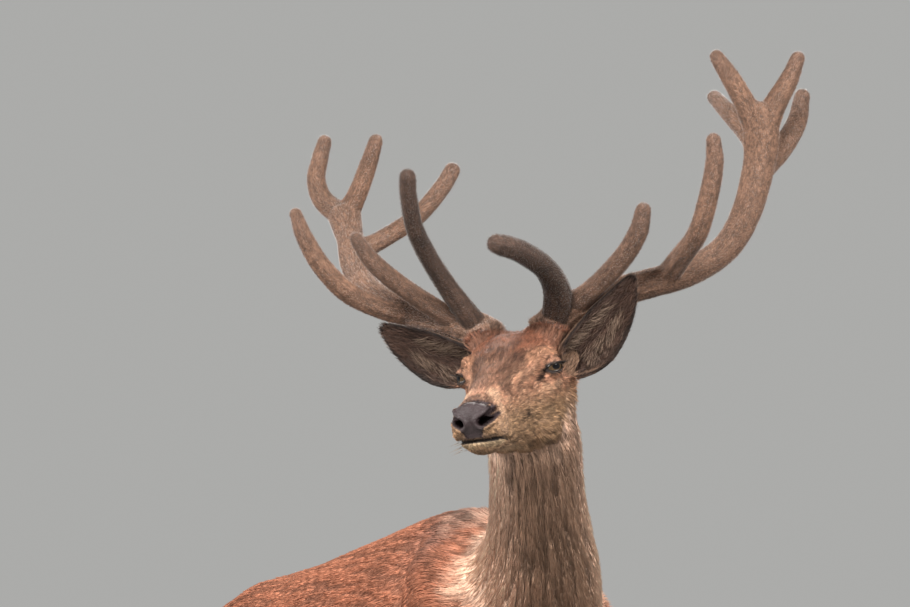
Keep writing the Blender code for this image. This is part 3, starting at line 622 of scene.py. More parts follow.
def ear_skin(word, side, along=46, across=26):
    """A closed shell round the ear's sheet: thick at the base, thin at its edge, with ribs inside the cup."""
    u = np.linspace(0.0, 0.985, along)[:, None] + np.zeros((1, across))
    v = np.linspace(-0.97, 0.97, across)[None, :] + np.zeros((along, 1))
    sheet, opening = ear_sheet(word, u, v)
    normal = unit(np.cross(np.gradient(sheet, axis=0), np.gradient(sheet, axis=1)))
    normal *= np.sign((normal * opening).sum(-1).mean())
    half = (0.0021 - 0.0012 * np.abs(v) ** 4) * (1 - 0.45 * u)
    ribs = 0.0009 * np.cos(v * 9.0 + 0.6) * np.sin(math.pi * u) * (1 - v**2)
    inside, outside = sheet + normal * (half + ribs)[..., None], sheet - normal * half[..., None]
    points, faces = closed(np.concatenate((outside, inside[:, ::-1]), axis=1))
    points = np.vstack((points[:-2], sheet[0, across // 2][None], sheet[-1, across // 2][None]))
    return placed_on_head((points, faces), side)


def outward(thing):
    """Make every face of closed bodies point out."""
    shape = bmesh.new()
    shape.from_mesh(thing.data)
    bmesh.ops.recalc_face_normals(shape, faces=shape.faces)
    shape.to_mesh(thing.data)
    shape.free()
    return thing


def body_skins():
    """Trunk, neck, head, tail, shoulders, thighs and legs as overlapping closed skins."""
    skins = [upright(TRUNK, 90, 96, DEPTH["trunk"]), limb(NECK, 60, 64, DEPTH["neck"]),
             placed_on_head(upright(HEAD, 80, 80, DEPTH["head"])), limb(TAIL, 24, 24, DEPTH["tail"])]
    for _, side in SIDES:
        for rows in (BROW_FORM, PEDICLE, EAR_ROOT):
            skins.append(placed_on_head(round_limb(rows, 16, 24, DEPTH["head"]), side))
        skins += [ball(centre, radii, side) for centre, radii in HEAD_BALLS]
    for haunch in (SHOULDER, THIGH):
        skin = limb(haunch, 40, 40, DEPTH["trunk"])
        skins += [skin, mirrored(skin)]
    for leg, rows in (("foreleg", FOREARM), ("foreleg", FORE_CANNON),
                      ("hindleg", GASKIN), ("hindleg", HIND_CANNON)):
        skin = limb(rows, 50, 32, DEPTH["leg"])
        skins += [skin, mirrored(skin, RIGHT_BACK[leg])]
    return skins


def head_form():
    """The head and the top of the neck, fused finely."""
    skins = [limb(NECK, 80, 90, DEPTH["neck"]), placed_on_head(upright(HEAD, 140, 140, DEPTH["head"]))]
    for _, side in SIDES:
        for rows in (BROW_FORM, PEDICLE):
            skins.append(placed_on_head(round_limb(rows, 30, 40, DEPTH["head"]), side))
        skins.append(placed_on_head(round_limb(EAR_ROOT, 20, 28), side))
        for centre, radii in HEAD_BALLS:
            skins.append(ball(centre, radii, side, 48))
    return fuse(from_skins("head_form", skins), HEAD_VOXEL, 10)


HEAD_REGION = ((0.070, 0.0, -0.030), (0.225, 0.108, 0.122))
FINE_REGIONS = (
    ((0.002, 0.078, 0.000), (0.046, 0.030, 0.033)),
    ((0.258, 0.012, -0.060), (0.040, 0.046, 0.045)),
)


def finer(thing, regions, passes):
    """Split the edges of faces inside ellipsoids of the head's frame, so that forms there come out crisp."""
    shape = bmesh.new()
    shape.from_mesh(thing.data)
    for _ in range(passes):
        shape.verts.ensure_lookup_table()
        local, _ = to_head(np.array([vertex.co[:] for vertex in shape.verts]))
        inside = np.zeros(len(local), bool)
        for centre, radii in regions:
            inside |= (((local - centre) / radii) ** 2).sum(1) < 1
        edges = [edge for edge in shape.edges if inside[edge.verts[0].index] and inside[edge.verts[1].index]]
        bmesh.ops.subdivide_edges(shape, edges=edges, cuts=1, use_grid_fill=True)
        shape.verts.index_update()
    shape.to_mesh(thing.data)
    shape.free()


def wrapped(thing, form, weights):
    """Move points onto the nearest place of a finer form, by their weights."""
    before = points_of(thing.data)
    wrap = thing.modifiers.new("wrap", "SHRINKWRAP")
    wrap.wrap_method = "NEAREST_SURFACEPOINT"
    wrap.target = form
    settle(thing)
    after = points_of(thing.data)
    move_to(thing.data, before + (after - before) * weights[:, None])


# Bent lines on the head, y outwards: places, half width, rise; a negative rise is a groove.
MOUTH_CORNER = ((0.156, 0.038, -0.098), (0.150, 0.038, -0.104), (0.143, 0.036, -0.111))
TEAR_LINE = ((0.005, 0.0700, 0.0000), (0.014, 0.0675, -0.0045),
             (0.024, 0.0640, -0.0090), (0.035, 0.0600, -0.0145))
UPPER_FOLD = ((-0.040, 0.084, 0.012), (-0.024, 0.089, 0.020), (-0.004, 0.087, 0.022), (0.012, 0.077, 0.016))
LOWER_FOLD = ((-0.034, 0.087, -0.020), (-0.010, 0.087, -0.026), (0.014, 0.076, -0.023))
MUZZLE_EDGE = ((0.198, 0.028, -0.010), (0.188, 0.041, -0.032), (0.174, 0.046, -0.058), (0.158, 0.044, -0.086))
HEAD_LINES = (
    (TEAR_LINE, 0.0060, -0.0038),
    (UPPER_FOLD, 0.0042, -0.0026),
    (LOWER_FOLD, 0.0050, -0.0020),
    (MOUTH_CORNER, 0.0065, -0.0045),
    (((0.236, 0.041, -0.076), (0.212, 0.046, -0.078), (0.184, 0.048, -0.082)), 0.0080, 0.0016),
    (((0.160, 0.048, -0.086), (0.146, 0.047, -0.096), (0.142, 0.044, -0.110)), 0.0060, 0.0020),
    (((0.030, 0.062, 0.024), (0.046, 0.052, 0.012)), 0.0060, -0.0016),
    (((0.150, 0.034, -0.020), (0.185, 0.036, -0.026), (0.214, 0.038, -0.020)), 0.0110, -0.0022),
    (MUZZLE_EDGE, 0.0085, -0.0026),
    (((0.010, 0.074, -0.045), (0.060, 0.060, -0.050), (0.110, 0.050, -0.052), (0.150, 0.046, -0.056)),
     0.0200, 0.0016),
    (((-0.075, 0.070, -0.110), (-0.020, 0.062, -0.122), (0.060, 0.045, -0.116), (0.120, 0.036, -0.106)),
     0.0120, 0.0026),
)
HEAD_SWELLS = (
    ((0.060, 0.000, 0.036), (0.050, 0.034, 0.030), -0.0045),
    ((0.052, 0.064, -0.016), (0.032, 0.020, 0.022), -0.0045),
    ((-0.080, 0.000, 0.070), (0.045, 0.036, 0.028), -0.0070),
    ((-0.064, 0.082, -0.006), (0.030, 0.024, 0.030), -0.0040),
    ((0.060, 0.062, -0.085), (0.050, 0.024, 0.022), -0.0030),
    ((0.205, 0.046, -0.066), (0.040, 0.020, 0.020), 0.0020),
    ((0.030, 0.000, -0.132), (0.070, 0.026, 0.020), -0.0060),
    ((0.140, 0.000, 0.004), (0.060, 0.018, 0.018), 0.0016),
)
NOSTRIL = ((0.268, 0.0190, -0.0520), (0.266, 0.0250, -0.0490), (0.260, 0.0310, -0.0455),
           (0.252, 0.0355, -0.0400), (0.242, 0.0375, -0.0385))
NOSTRIL_WIDTH = 0.0082
NOSTRIL_DEPTH = 0.0135
# The mouth in side view: how far forward, the height of its line, and the half width and depth of the groove.
MOUTH = ((0.151, 0.188, 0.218, 0.244, 0.257, 0.270), (-0.0990, -0.0905, -0.0875, -0.0860, -0.0850, -0.0830))
MOUTH_WIDTH = 0.0046
MOUTH_DEPTH = 0.0070
# The bare pad of the nose: levels and its half width at each.
NOSE_PAD = ((-0.086, -0.076, -0.066, -0.054, -0.044, -0.034, -0.025, -0.018),
            (0.009, 0.011, 0.016, 0.030, 0.037, 0.035, 0.024, 0.002))
PHILTRUM = ((0.284, 0.000, -0.046), (0.280, 0.000, -0.062), (0.268, 0.000, -0.082))

# Bent lines and swells on the body of both sides: like those of the head, in metres of the body's own frame.
BODY_LINES = (
    (((0.010, 0.080, 0.600), (0.070, 0.130, 0.510), (0.140, 0.175, 0.400), (0.190, 0.170, 0.310)),
     0.060, 0.003),
    (((-0.090, 0.120, 0.560), (-0.090, 0.195, 0.420), (-0.080, 0.215, 0.270)), 0.070, -0.004),
    (((0.030, 0.160, 0.480), (0.110, 0.190, 0.370)), 0.040, -0.002),
    (((-0.900, 0.120, 0.440), (-0.820, 0.215, 0.360), (-0.760, 0.255, 0.240)), 0.040, -0.006),
    (((-0.660, 0.170, 0.430), (-0.620, 0.225, 0.330), (-0.570, 0.245, 0.220)), 0.060, -0.006),
    (((0.440, -0.090, 0.780), (0.300, 0.000, 0.600), (0.180, 0.060, 0.460)), 0.030, -0.004),
)
BODY_SWELLS = (
    ((-0.720, 0.120, 0.530), (0.140, 0.090, 0.080), 0.010),
    ((-0.960, 0.090, 0.480), (0.050, 0.050, 0.050), 0.008),
    ((-0.560, 0.240, 0.380), (0.110, 0.080, 0.090), -0.014),
    ((0.205, 0.150, 0.330), (0.050, 0.060, 0.060), 0.008),
    ((-0.500, 0.250, 0.160), (0.050, 0.050, 0.050), 0.008),
    ((-0.025, 0.205, 0.150), (0.045, 0.040, 0.045), 0.006),
)

# The eye in the head's frame: its axis, the long way of the slit, how far corners and lids open, in degrees.
BALL_RADIUS = 0.0205
GAZE = (0.62, 0.77, 0.04)
SLIT = (-0.70, 0.66, 0.02)
CORNERS = (-58.0, 64.0)
UPPER_LID = 13.0
LOWER_LID = 20.0
LID = 0.0020
LID_BLEND = 0.019


def eye_axes():
    """Columns in the head's frame: along the slit to its outer corner, up across it, out along the gaze."""
    gaze = unit(np.array(GAZE))
    slit = np.array(SLIT) - gaze * (np.array(SLIT) @ gaze)
    slit = unit(slit)
    return np.column_stack((slit, np.cross(gaze, slit), gaze))


EYE_AXES = eye_axes()


def lid_height(across):
    """How far each lid opens (radians) at an angle along the slit: an almond, fuller above its outer half."""
    low, high = np.radians(CORNERS)
    t = np.clip(np.where(across < 0, across / low, across / high), 0, 1)
    almond = (1 - t**2.2) ** 0.8
    return math.radians(UPPER_LID) * almond, math.radians(LOWER_LID) * almond


def on_eye(across, up, radius):
    """Points in the head's frame at two angles on a ball round the eye."""
    local = np.stack((np.sin(across) * np.cos(up), np.sin(up), np.cos(across) * np.cos(up)), -1) * radius
    return np.array(EYE_AT) + local @ EYE_AXES.T


def beyond_lid(local):
    """Distance from the edge of the slit, negative in the opening, and distance from the eye's middle."""
    off = local - np.array(EYE_AT)
    distance = np.linalg.norm(off, axis=1)
    seen = (off / distance[:, None]) @ EYE_AXES
    across = np.arctan2(seen[:, 0], seen[:, 2])
    up = np.arcsin(np.clip(seen[:, 1], -1, 1))
    upper, lower = lid_height(across)
    edge = np.where(up > 0, up - upper, -up - lower)
    low, high = np.radians(CORNERS)
    past = np.maximum(np.maximum(across - high, low - across), 0)
    return np.where(past > 0, np.hypot(past, up), edge) * BALL_RADIUS, distance


def nostril_distance(local):
    """Distance from the nostril's bent line, seen mostly from the front."""
    return near_line(local * (0.35, 1, 1), np.array(NOSTRIL) * (0.35, 1, 1))[0]


def mouth_distance(local):
    """Distance from the line of the mouth, seen from the side."""
    ahead = MOUTH[0][0] + 0.002 - local[:, 0]
    return np.hypot(local[:, 2] - np.interp(local[:, 0], *MOUTH), np.maximum(ahead, 0))


def sculpt(thing):
    """Push points in and out along their normals by every named line and swell, then lay the eyes' lids."""
    mesh = thing.data
    points, normals = points_of(mesh), normals_of(mesh)
    local, side = to_head(points)
    near_head = (((local - HEAD_REGION[0]) / HEAD_REGION[1]) ** 2).sum(1) < 1.3
    face = local[near_head]
    push = np.zeros(len(face))
    for line, width, rise in HEAD_LINES + ((PHILTRUM, 0.0070, -0.0030),):
        distance, _ = near_line(face, line)
        push += rise * np.clip(1 - (distance / width) ** 2, 0, None) ** 1.5
    for centre, radii, rise in HEAD_SWELLS:
        push += rise * swell(face, centre, radii)
    push -= MOUTH_DEPTH * np.clip(1 - (mouth_distance(face) / MOUTH_WIDTH) ** 2, 0, None) ** 1.2
    distance = nostril_distance(face)
    push -= NOSTRIL_DEPTH * np.clip(1 - (distance / NOSTRIL_WIDTH) ** 2, 0, None) ** 0.8
    wing = np.exp(-((distance - NOSTRIL_WIDTH * 1.40) / 0.0038) ** 2)
    push += 0.0036 * wing * soft(face[:, 0], 0.235, 0.25)
    points[near_head] += normals[near_head] * push[:, None]
    body = ~near_head
    place = points[body]
    place[:, 1] = np.abs(place[:, 1])
    push = np.zeros(len(place))
    for line, width, rise in BODY_LINES:
        distance, _ = near_line(place, line)
        push += rise * np.clip(1 - (distance / width) ** 2, 0, None) ** 1.5
    for centre, radii, rise in BODY_SWELLS:
        push += rise * swell(place, centre, radii)
    behind = soft(-place[:, 0], 0.0, 0.2)
    ridge = np.exp(-((place[:, 1] / 0.020) ** 2)) * soft(place[:, 2], 0.40, 0.5) * behind
    push += ridge * 0.002
    points[body] += normals[body] * push[:, None]
    local, side = to_head(points)
    near_eye = np.linalg.norm(local - np.array(EYE_AT), axis=1) < 0.05
    past, distance = beyond_lid(local[near_eye])
    lid = BALL_RADIUS + LID + 0.0006 * soft(past, 0.0, 0.003) - 0.0006 * soft(past, 0.004, 0.009)
    blend = soft(past, 0.003, LID_BLEND)
    radius = np.where(past < 0, BALL_RADIUS - 0.0045,
                      np.maximum(lid * (1 - blend) + distance * blend, lid - 0.0008))
    off = local[near_eye] - np.array(EYE_AT)
    outside = (off @ EYE_AXES[:, 2]) > -0.006
    off *= np.where(outside, radius / distance, 1)[:, None]
    points[near_eye] = on_head_signed(np.array(EYE_AT) + off, side[near_eye])
    points[:, 2] = np.maximum(points[:, 2], FLOOR_CLEAR)
    move_to(mesh, points)


def on_head_signed(local, side):
    """World places of points in the head's frame, each on its own side."""
    local = local.copy()
    local[:, 1] *= side
    return local @ HEAD_AXES.T + np.array(HEAD_AT)


def build_skin():
    """The whole skin as one closed surface: fused body, refined head, then the ears joined on."""
    skin = fuse(from_skins("skin", body_skins()), SKIN_VOXEL, 8)
    relaxed(skin, (0.060, 0.110, 0.470), (0.280, 0.200, 0.230), 120)
    finer(skin, (HEAD_REGION,), 2)
    finer(skin, FINE_REGIONS, 1)
    form = head_form()
    local, _ = to_head(points_of(skin.data))
    inside = 1 - np.sqrt((((local - HEAD_REGION[0]) / HEAD_REGION[1]) ** 2).sum(1))
    wrapped(skin, form, soft(inside, 0.0, 0.15))
    bpy.data.objects.remove(form)
    sculpt(skin)
    for word, side in SIDES:
        ear = outward(from_skins("ear_" + word, [ear_skin(word, side)]))
        join = skin.modifiers.new("ear", "BOOLEAN")
        join.operation = "UNION"
        join.solver = "MANIFOLD"
        join.object = ear
        settle(skin)
        bpy.data.objects.remove(ear)
    skin.data.polygons.foreach_set("use_smooth", np.ones(len(skin.data.polygons), bool))
    return skin


# ---- colours: one rule for the skin and for every tuft on it ----

# Some of these colours also serve as painted shade: the throat's where the neck faces down, the jaw's under
# the jaw, the mouth's in its groove and corners, the glands' colour in the fold of the upper lid, and the
# flecks' along the muzzle's edge.
COLOURS = {
    "red": tone(160, 104, 80), "back": tone(112, 80, 66), "belly": tone(196, 164, 128),
    "rump": tone(198, 166, 134), "neck": tone(214, 180, 160), "throat": tone(140, 112, 92),
    "leg": tone(148, 112, 84), "shin": tone(104, 82, 68), "face": tone(176, 130, 106),
    "poll": tone(132, 84, 64), "patch": tone(60, 41, 35), "pale": tone(214, 176, 146),
    "chin": tone(214, 186, 152), "cheek": tone(178, 144, 112), "nose": tone(50, 39, 41),
    "lid": tone(36, 27, 24), "gland_and_fold_shade": tone(56, 40, 34), "mouth": tone(34, 26, 25), "ear": tone(112, 88, 72),
    "ear_in": tone(62, 46, 39), "ear_rim": tone(28, 21, 19), "fleck": tone(72, 54, 46),
    "jaw": tone(126, 100, 76), "lip": tone(70, 56, 50), "withers": tone(92, 76, 72),
    "brow": tone(186, 140, 112), "bridge": tone(126, 92, 76), "neck_base": tone(206, 172, 150),
    "pedicle": tone(108, 78, 64),
}
# Face markings, some of them painted shade in folds and grooves and under the jaw: colour, a bent line in the
# head's frame with y outwards, half width, strength.
MARKS = (
    ("poll", ((-0.105, 0.000, 0.066), (-0.040, 0.010, 0.064), (0.016, 0.012, 0.048)), 0.050, 0.85),
    ("poll", ((-0.110, 0.066, 0.060), (-0.090, 0.052, 0.040), (-0.030, 0.040, 0.052)), 0.036, 0.7),
    ("patch", ((0.056, 0.034, 0.030), (0.090, 0.026, 0.016), (0.120, 0.024, 0.001), (0.140, 0.030, -0.010)),
     0.019, 0.66),
    ("patch", ((0.020, 0.050, 0.036), (0.056, 0.038, 0.028)), 0.014, 0.45),
    ("patch", ((-0.010, 0.022, 0.056), (0.040, 0.014, 0.044)), 0.014, 0.40),
    ("bridge", ((0.020, 0.000, 0.044), (0.080, 0.000, 0.022), (0.150, 0.000, 0.006)), 0.024, 0.75),
    ("patch", ((0.212, 0.000, -0.010), (0.232, 0.000, -0.016)), 0.020, 0.70),
    ("patch", ((0.206, 0.020, -0.010), (0.232, 0.026, -0.026)), 0.012, 0.7),
    ("brow", ((-0.046, 0.086, 0.018), (-0.022, 0.082, 0.033), (0.010, 0.070, 0.036), (0.036, 0.054, 0.020)),
     0.015, 0.80),
    ("pale", ((-0.034, 0.090, -0.026), (0.004, 0.084, -0.034), (0.034, 0.070, -0.032)), 0.011, 0.55),
    ("pale", ((0.182, 0.026, -0.012), (0.204, 0.038, -0.024), (0.218, 0.046, -0.046), (0.208, 0.050, -0.072)),
     0.015, 0.80),
    ("pale", ((0.240, 0.036, -0.064), (0.222, 0.044, -0.078), (0.190, 0.048, -0.084)), 0.009, 0.55),
    ("lip", ((0.270, 0.000, -0.076), (0.262, 0.014, -0.078), (0.250, 0.026, -0.080)), 0.010, 0.75),
    ("chin", ((0.262, 0.000, -0.092), (0.245, 0.026, -0.094), (0.205, 0.038, -0.096), (0.166, 0.040, -0.102)),
     0.010, 1.0),
    ("chin", ((0.120, 0.000, -0.124), (0.040, 0.000, -0.142)), 0.026, 0.45),
    # Painted shade along the underside of the jaw, in the jaw's darker colour.
    ("jaw", ((0.235, 0.000, -0.112), (0.170, 0.020, -0.120), (0.120, 0.040, -0.118), (0.070, 0.050, -0.124)),
     0.018, 0.7),
    # Painted shade along the groove at the back edge of the muzzle, in the colour of the dark flecks.
    ("fleck", MUZZLE_EDGE, 0.0070, 0.50),
    ("mouth", ((0.090, 0.049, -0.064), (0.086, 0.050, -0.068)), 0.0065, 0.95),
    ("mouth", ((0.108, 0.047, -0.074), (0.104, 0.048, -0.077)), 0.0042, 0.9),
    ("ear", ((-0.086, 0.092, 0.000), (-0.094, 0.112, 0.008)), 0.024, 0.9),
    ("gland_and_fold_shade", TEAR_LINE, 0.0075, 1.0),
    ("gland_and_fold_shade", ((0.072, 0.046, -0.004), (0.112, 0.040, -0.022)), 0.0036, 0.5),
    # Painted shade in the fold of the upper lid, below the brow.
    ("gland_and_fold_shade", UPPER_FOLD, 0.0066, 0.90),
    # Painted shade in the groove at the corner of the mouth, over its dark lip skin.
    ("mouth", MOUTH_CORNER, 0.0098, 0.95),
)


def blend(base, colour, share):
    """The base mixed with a colour: one less the share of it, plus the share of the colour."""
    share = np.asarray(share)[:, None]
    return base * (1 - share) + colour * share


def group_share(weights, *groups):
    """The sum of each point's closeness to the named guides."""
    return sum(weights[:, g] for g, name in enumerate(GROUPS) if name in groups) + np.zeros(len(weights))


def nose_share(local, beyond=0.0):
    """The bare pad of the nose, round the nostrils and down the middle of the lip, and so far beyond it."""
    ragged = 0.005 * (noise(local, 0.0045, 51) - 0.5)
    width = np.interp(local[:, 2], *NOSE_PAD) + ragged + beyond
    front = local[:, 0] + 0.45 * local[:, 2] + ragged + beyond
    over_lip = soft(local[:, 2], -0.082, -0.077)
    return soft(width - local[:, 1], -0.0015, 0.0020) * soft(front, 0.213, 0.220) * over_lip


def ear_shares(points, normals):
    """How much each point is inside an ear's cup, at the edge of the ear, and anywhere on it."""
    inside, rim, close = (np.zeros(len(points)) for _ in range(3))
    u, v = np.meshgrid(np.linspace(0.05, 1, 40), np.linspace(-1, 1, 25), indexing="ij")
    for word, side in SIDES:
        sheet, opening = ear_sheet(word, u, v)
        places = on_head(sheet.reshape(-1, 3), side)
        reach = np.linalg.norm(points - places.mean(0), axis=1) < 0.15
        off = np.linalg.norm(points[reach][:, None] - places[None, ::2], axis=2)
        near = np.argmin(off, axis=1) * 2
        on_ear = off.min(1) < 0.012
        facing = normals[reach] @ (HEAD_AXES @ (opening * (1, side, 1)))
        inside[reach] = np.maximum(inside[reach], on_ear * soft(facing, -0.1, 0.35))
        edge = np.maximum(np.abs(v.ravel()[near]), soft(u.ravel()[near], 0.80, 1.0))
        rim[reach] = np.maximum(rim[reach], on_ear * soft(edge, 0.72, 0.98))
        by_base = soft(u.ravel()[near], 0.12, 0.30)
        close[reach] = np.maximum(close[reach], soft(-off.min(1), -0.014, -0.009) * by_base)
    return inside, rim, close


THROAT_WAY = unit(np.array((0.86, -0.25, -0.45)))  # the way the throat faces


def coat_colour(points, normals, weights):
    """Linear colour of the coat: the body by region, height and facing, the face by its marks, mottled, with
    painted shade on the throat and under the jaw, in the mouth and nostrils, in the fold of the upper lid and
    along the muzzle's edge.
    """
    local, _ = to_head(points)
    wide = noise(points, 0.060, 3)
    fine = noise(points, 0.011, 5)
    head_share = group_share(weights, "head", "pedicle", "ear")
    colour = np.tile(COLOURS["red"], (len(points), 1))
    high = soft(points[:, 2], 0.36, 0.60) * soft(-np.abs(points[:, 1]) + 0.03 * (wide - 0.5), -0.055, -0.015)
    colour = blend(colour, COLOURS["back"], 0.45 * high * soft(normals[:, 2], 0.5, 0.9))
    colour = blend(colour, COLOURS["belly"],
                   0.8 * soft(-normals[:, 2], 0.1, 0.7) * soft(-points[:, 2], -0.24, -0.08))
    rump = soft(-points[:, 0], 0.985, 1.06) * soft(-np.abs(points[:, 1]), -0.125, -0.085)
    colour = blend(colour, COLOURS["rump"], 0.85 * rump * soft(points[:, 2], 0.12, 0.22))
    rump_edge = np.exp(-(((-points[:, 0] - 0.975) / 0.02) ** 2)) * soft(-np.abs(points[:, 1]), -0.15, -0.11)
    colour = blend(colour, COLOURS["back"], 0.35 * rump_edge * soft(points[:, 2], 0.2, 0.3))
    colour = blend(colour, COLOURS["rump"], 0.6 * group_share(weights, "tail"))
    withers = np.exp(-(((points[:, 0] + 0.02) / 0.10) ** 2)) * soft(points[:, 2], 0.50, 0.62)
    colour = blend(colour, COLOURS["withers"], 0.60 * withers * soft(0.4 * wide + 0.6 * fine, 0.25, 0.6))
    chest = 0.55 * soft(points[:, 0], 0.14, 0.26) * soft(points[:, 2], 0.24, 0.46)
    neck = soft(group_share(weights, "neck") + chest + 0.35 * (wide - 0.5) + 0.2 * (fine - 0.5), 0.30, 0.90)
    # Painted shade and the throat's darker hair: the neck takes the throat colour where it faces down and
    # forward.
    under = soft(normals @ THROAT_WAY, 0.35, 0.95)
    neck_tone = blend(COLOURS["neck"] + 0 * colour, COLOURS["neck_base"], soft(-points[:, 2], -0.76, -0.60))
    colour = blend(colour, neck_tone, neck)
    colour = blend(colour, COLOURS["throat"], 0.70 * neck * under)
    colour = blend(colour, COLOURS["throat"],
                   0.45 * soft(points[:, 0], 0.16, 0.28) * soft(-points[:, 2], -0.5, -0.3)
                   * (1 - head_share))
    leg = soft(group_share(weights, "forearm", "fore_cannon", "gaskin", "hind_cannon"), 0.35, 0.75)
    colour = blend(colour, COLOURS["leg"], 0.85 * leg)
    low = soft(group_share(weights, "fore_cannon", "hind_cannon"), 0.4, 0.8)
    colour = blend(colour, COLOURS["shin"], 0.55 * low)
    head = soft(head_share, 0.25, 0.65)
    face = COLOURS["face"] + 0 * colour
    face = blend(face, COLOURS["cheek"], soft(-local[:, 2], 0.02, 0.07))
    # The face darker towards the underside of the jaw and chin: the jaw's darker hair, and painted shade.
    face = blend(face, COLOURS["jaw"], 0.6 * soft(-local[:, 2], 0.095, 0.125))
    face = blend(face, COLOURS["pale"], 0.36 * flecks(local, 0.0050, 25) * soft(local[:, 0], -0.02, 0.04))
    for name, line, width, strength in MARKS:
        distance, _ = near_line(local, line)
        wander = width * (0.45 + 0.70 * noise(points, width * 0.8, 11) + 0.45 * noise(points, 0.0050, 12))
        face = blend(face, COLOURS[name], strength * soft(-distance / wander, -1.25, -0.40))
    face = blend(face, COLOURS["pedicle"], 0.75 * soft(group_share(weights, "pedicle"), 0.15, 0.60))
    more_below = 0.30 + 0.16 * soft(-local[:, 2], 0.0, 0.06)
    face = blend(face, COLOURS["fleck"], (1 - flecks(local, 0.0044, 21)) * more_below)
    colour = blend(colour, face, head)
    past, distance = beyond_lid(local)
    close = distance < 0.032
    colour = blend(colour, COLOURS["lid"], close * soft(-past, -0.0062, -0.0030))
    # The line of the mouth painted near black: the dark edges of the lips, and painted shade in the groove
    # between them.
    mouth = soft(-mouth_distance(local), -0.0048, -0.0024) * (local[:, 0] > 0.15)
    colour = blend(colour, COLOURS["mouth"], mouth * head)
    around = soft(-nostril_distance(local), -0.0125, -0.0095) * soft(local[:, 0], 0.218, 0.228)
    colour = blend(colour, COLOURS["nose"], np.maximum(nose_share(local, 0.0030), around) * (distance > 0.1))
    # Painted shadow: the inside of each nostril painted near black.
    painted_nostril_shade = soft(-nostril_distance(local), -0.0088, -0.0062) * soft(local[:, 0], 0.214, 0.222)
    colour = blend(colour, COLOURS["nose"] * 0.04, painted_nostril_shade)
    inside, rim, near = ear_shares(points, normals)
    on_ear = np.maximum(soft(group_share(weights, "ear"), 0.45, 0.80), near)
    ear = blend(COLOURS["ear"] + 0 * colour, COLOURS["ear_in"], inside)
    colour = blend(colour, ear, on_ear)
    colour = blend(colour, COLOURS["ear_rim"], 0.9 * rim * on_ear)
    return np.clip(colour * (0.80 + 0.18 * wide + 0.22 * fine)[:, None], 0, 1)


# ---- tufts ----

# Each group's tufts: length, width, thickness, lift of the tip, in metres.
TUFTS = {
    "trunk": (0.024, 0.0026, 0.0010, 0.0022), "shoulder": (0.024, 0.0026, 0.0010, 0.0022),
    "thigh": (0.024, 0.0026, 0.0010, 0.0022), "neck": (0.036, 0.0028, 0.0012, 0.0050),
    "tail": (0.034, 0.0026, 0.0013, 0.0060), "head": (0.0110, 0.0012, 0.0006, 0.0020),
    "pedicle": (0.018, 0.0014, 0.0007, 0.0060), "forearm": (0.019, 0.0021, 0.0009, 0.0022),
    "fore_cannon": (0.013, 0.0016, 0.0008, 0.0016), "gaskin": (0.020, 0.0021, 0.0009, 0.0022),
    "hind_cannon": (0.014, 0.0016, 0.0008, 0.0016), "ear": (0.0120, 0.0013, 0.0006, 0.0020),
}
# How long and how wide the locks of each group are, in metres: clumps of hair that part and shade together.
LOCKS = {"trunk": (0.034, 0.0065), "shoulder": (0.034, 0.0065), "thigh": (0.034, 0.0065),
         "neck": (0.048, 0.0062), "tail": (0.040, 0.0080), "head": (0.0100, 0.0034),
         "pedicle": (0.014, 0.0034), "forearm": (0.025, 0.0050), "fore_cannon": (0.018, 0.0040),
         "gaskin": (0.025, 0.0050), "hind_cannon": (0.018, 0.0040), "ear": (0.014, 0.0036)}
PATCH = 0.0030
PATCH_PLACES = ((0.0, 0.0), (1.0, 0.0), (0.5, 0.35), (0.5, 1.0))


def triangles_of(mesh):
    """The corners of every triangle of a mesh, one row each."""
    mesh.calc_loop_triangles()
    flat = np.empty(len(mesh.loop_triangles) * 3, np.int32)
    mesh.loop_triangles.foreach_get("vertices", flat)
    return flat.reshape(-1, 3)


def scattered(points, normals, triangles, share, count, seed):
    """Roots spread over triangles by area times share: equal steps through the running total, jittered."""
    rng = np.random.default_rng(seed)
    a, b, c = (points[triangles[:, k]] for k in range(3))
    area = np.linalg.norm(np.cross(b - a, c - a), axis=1) * share[triangles].mean(1)
    total = np.cumsum(area)
    pick = np.searchsorted(total, (np.arange(count) + rng.random(count)) * total[-1] / count)
    pick = np.minimum(pick, len(triangles) - 1)
    s, t = np.sqrt(rng.random(count))[:, None], rng.random(count)[:, None]
    mix = (1 - s, s * (1 - t), s * t)
    corners = triangles[pick]
    roots = sum(points[corners[:, k]] * mix[k] for k in range(3))
    facing = unit(sum(normals[corners[:, k]] * mix[k] for k in range(3)))
    return roots, facing, rng


def joined_mesh(name, points, triangles):
    """One smooth mesh from rows of places and rows of triangle corners."""
    mesh = bpy.data.meshes.new(name)
    mesh.vertices.add(len(points))
    mesh.vertices.foreach_set("co", np.ascontiguousarray(points, np.float32).ravel())
    mesh.loops.add(triangles.size)
    mesh.loops.foreach_set("vertex_index", np.ascontiguousarray(triangles, np.int32).ravel())
    mesh.polygons.add(len(triangles))
    mesh.polygons.foreach_set("loop_start", np.arange(0, triangles.size, 3, dtype=np.int32))
    mesh.polygons.foreach_set("use_smooth", np.ones(len(triangles), bool))
    mesh.update(calc_edges=True)
    return mesh


def painted(mesh, colours, name="coat"):
    """Store a colour for each corner of a mesh."""
    attribute = mesh.color_attributes.new(name, "FLOAT_COLOR", "POINT")
    opaque = np.column_stack((colours, np.ones(len(colours)))).astype(np.float32)
    attribute.data.foreach_set("color", opaque.ravel())


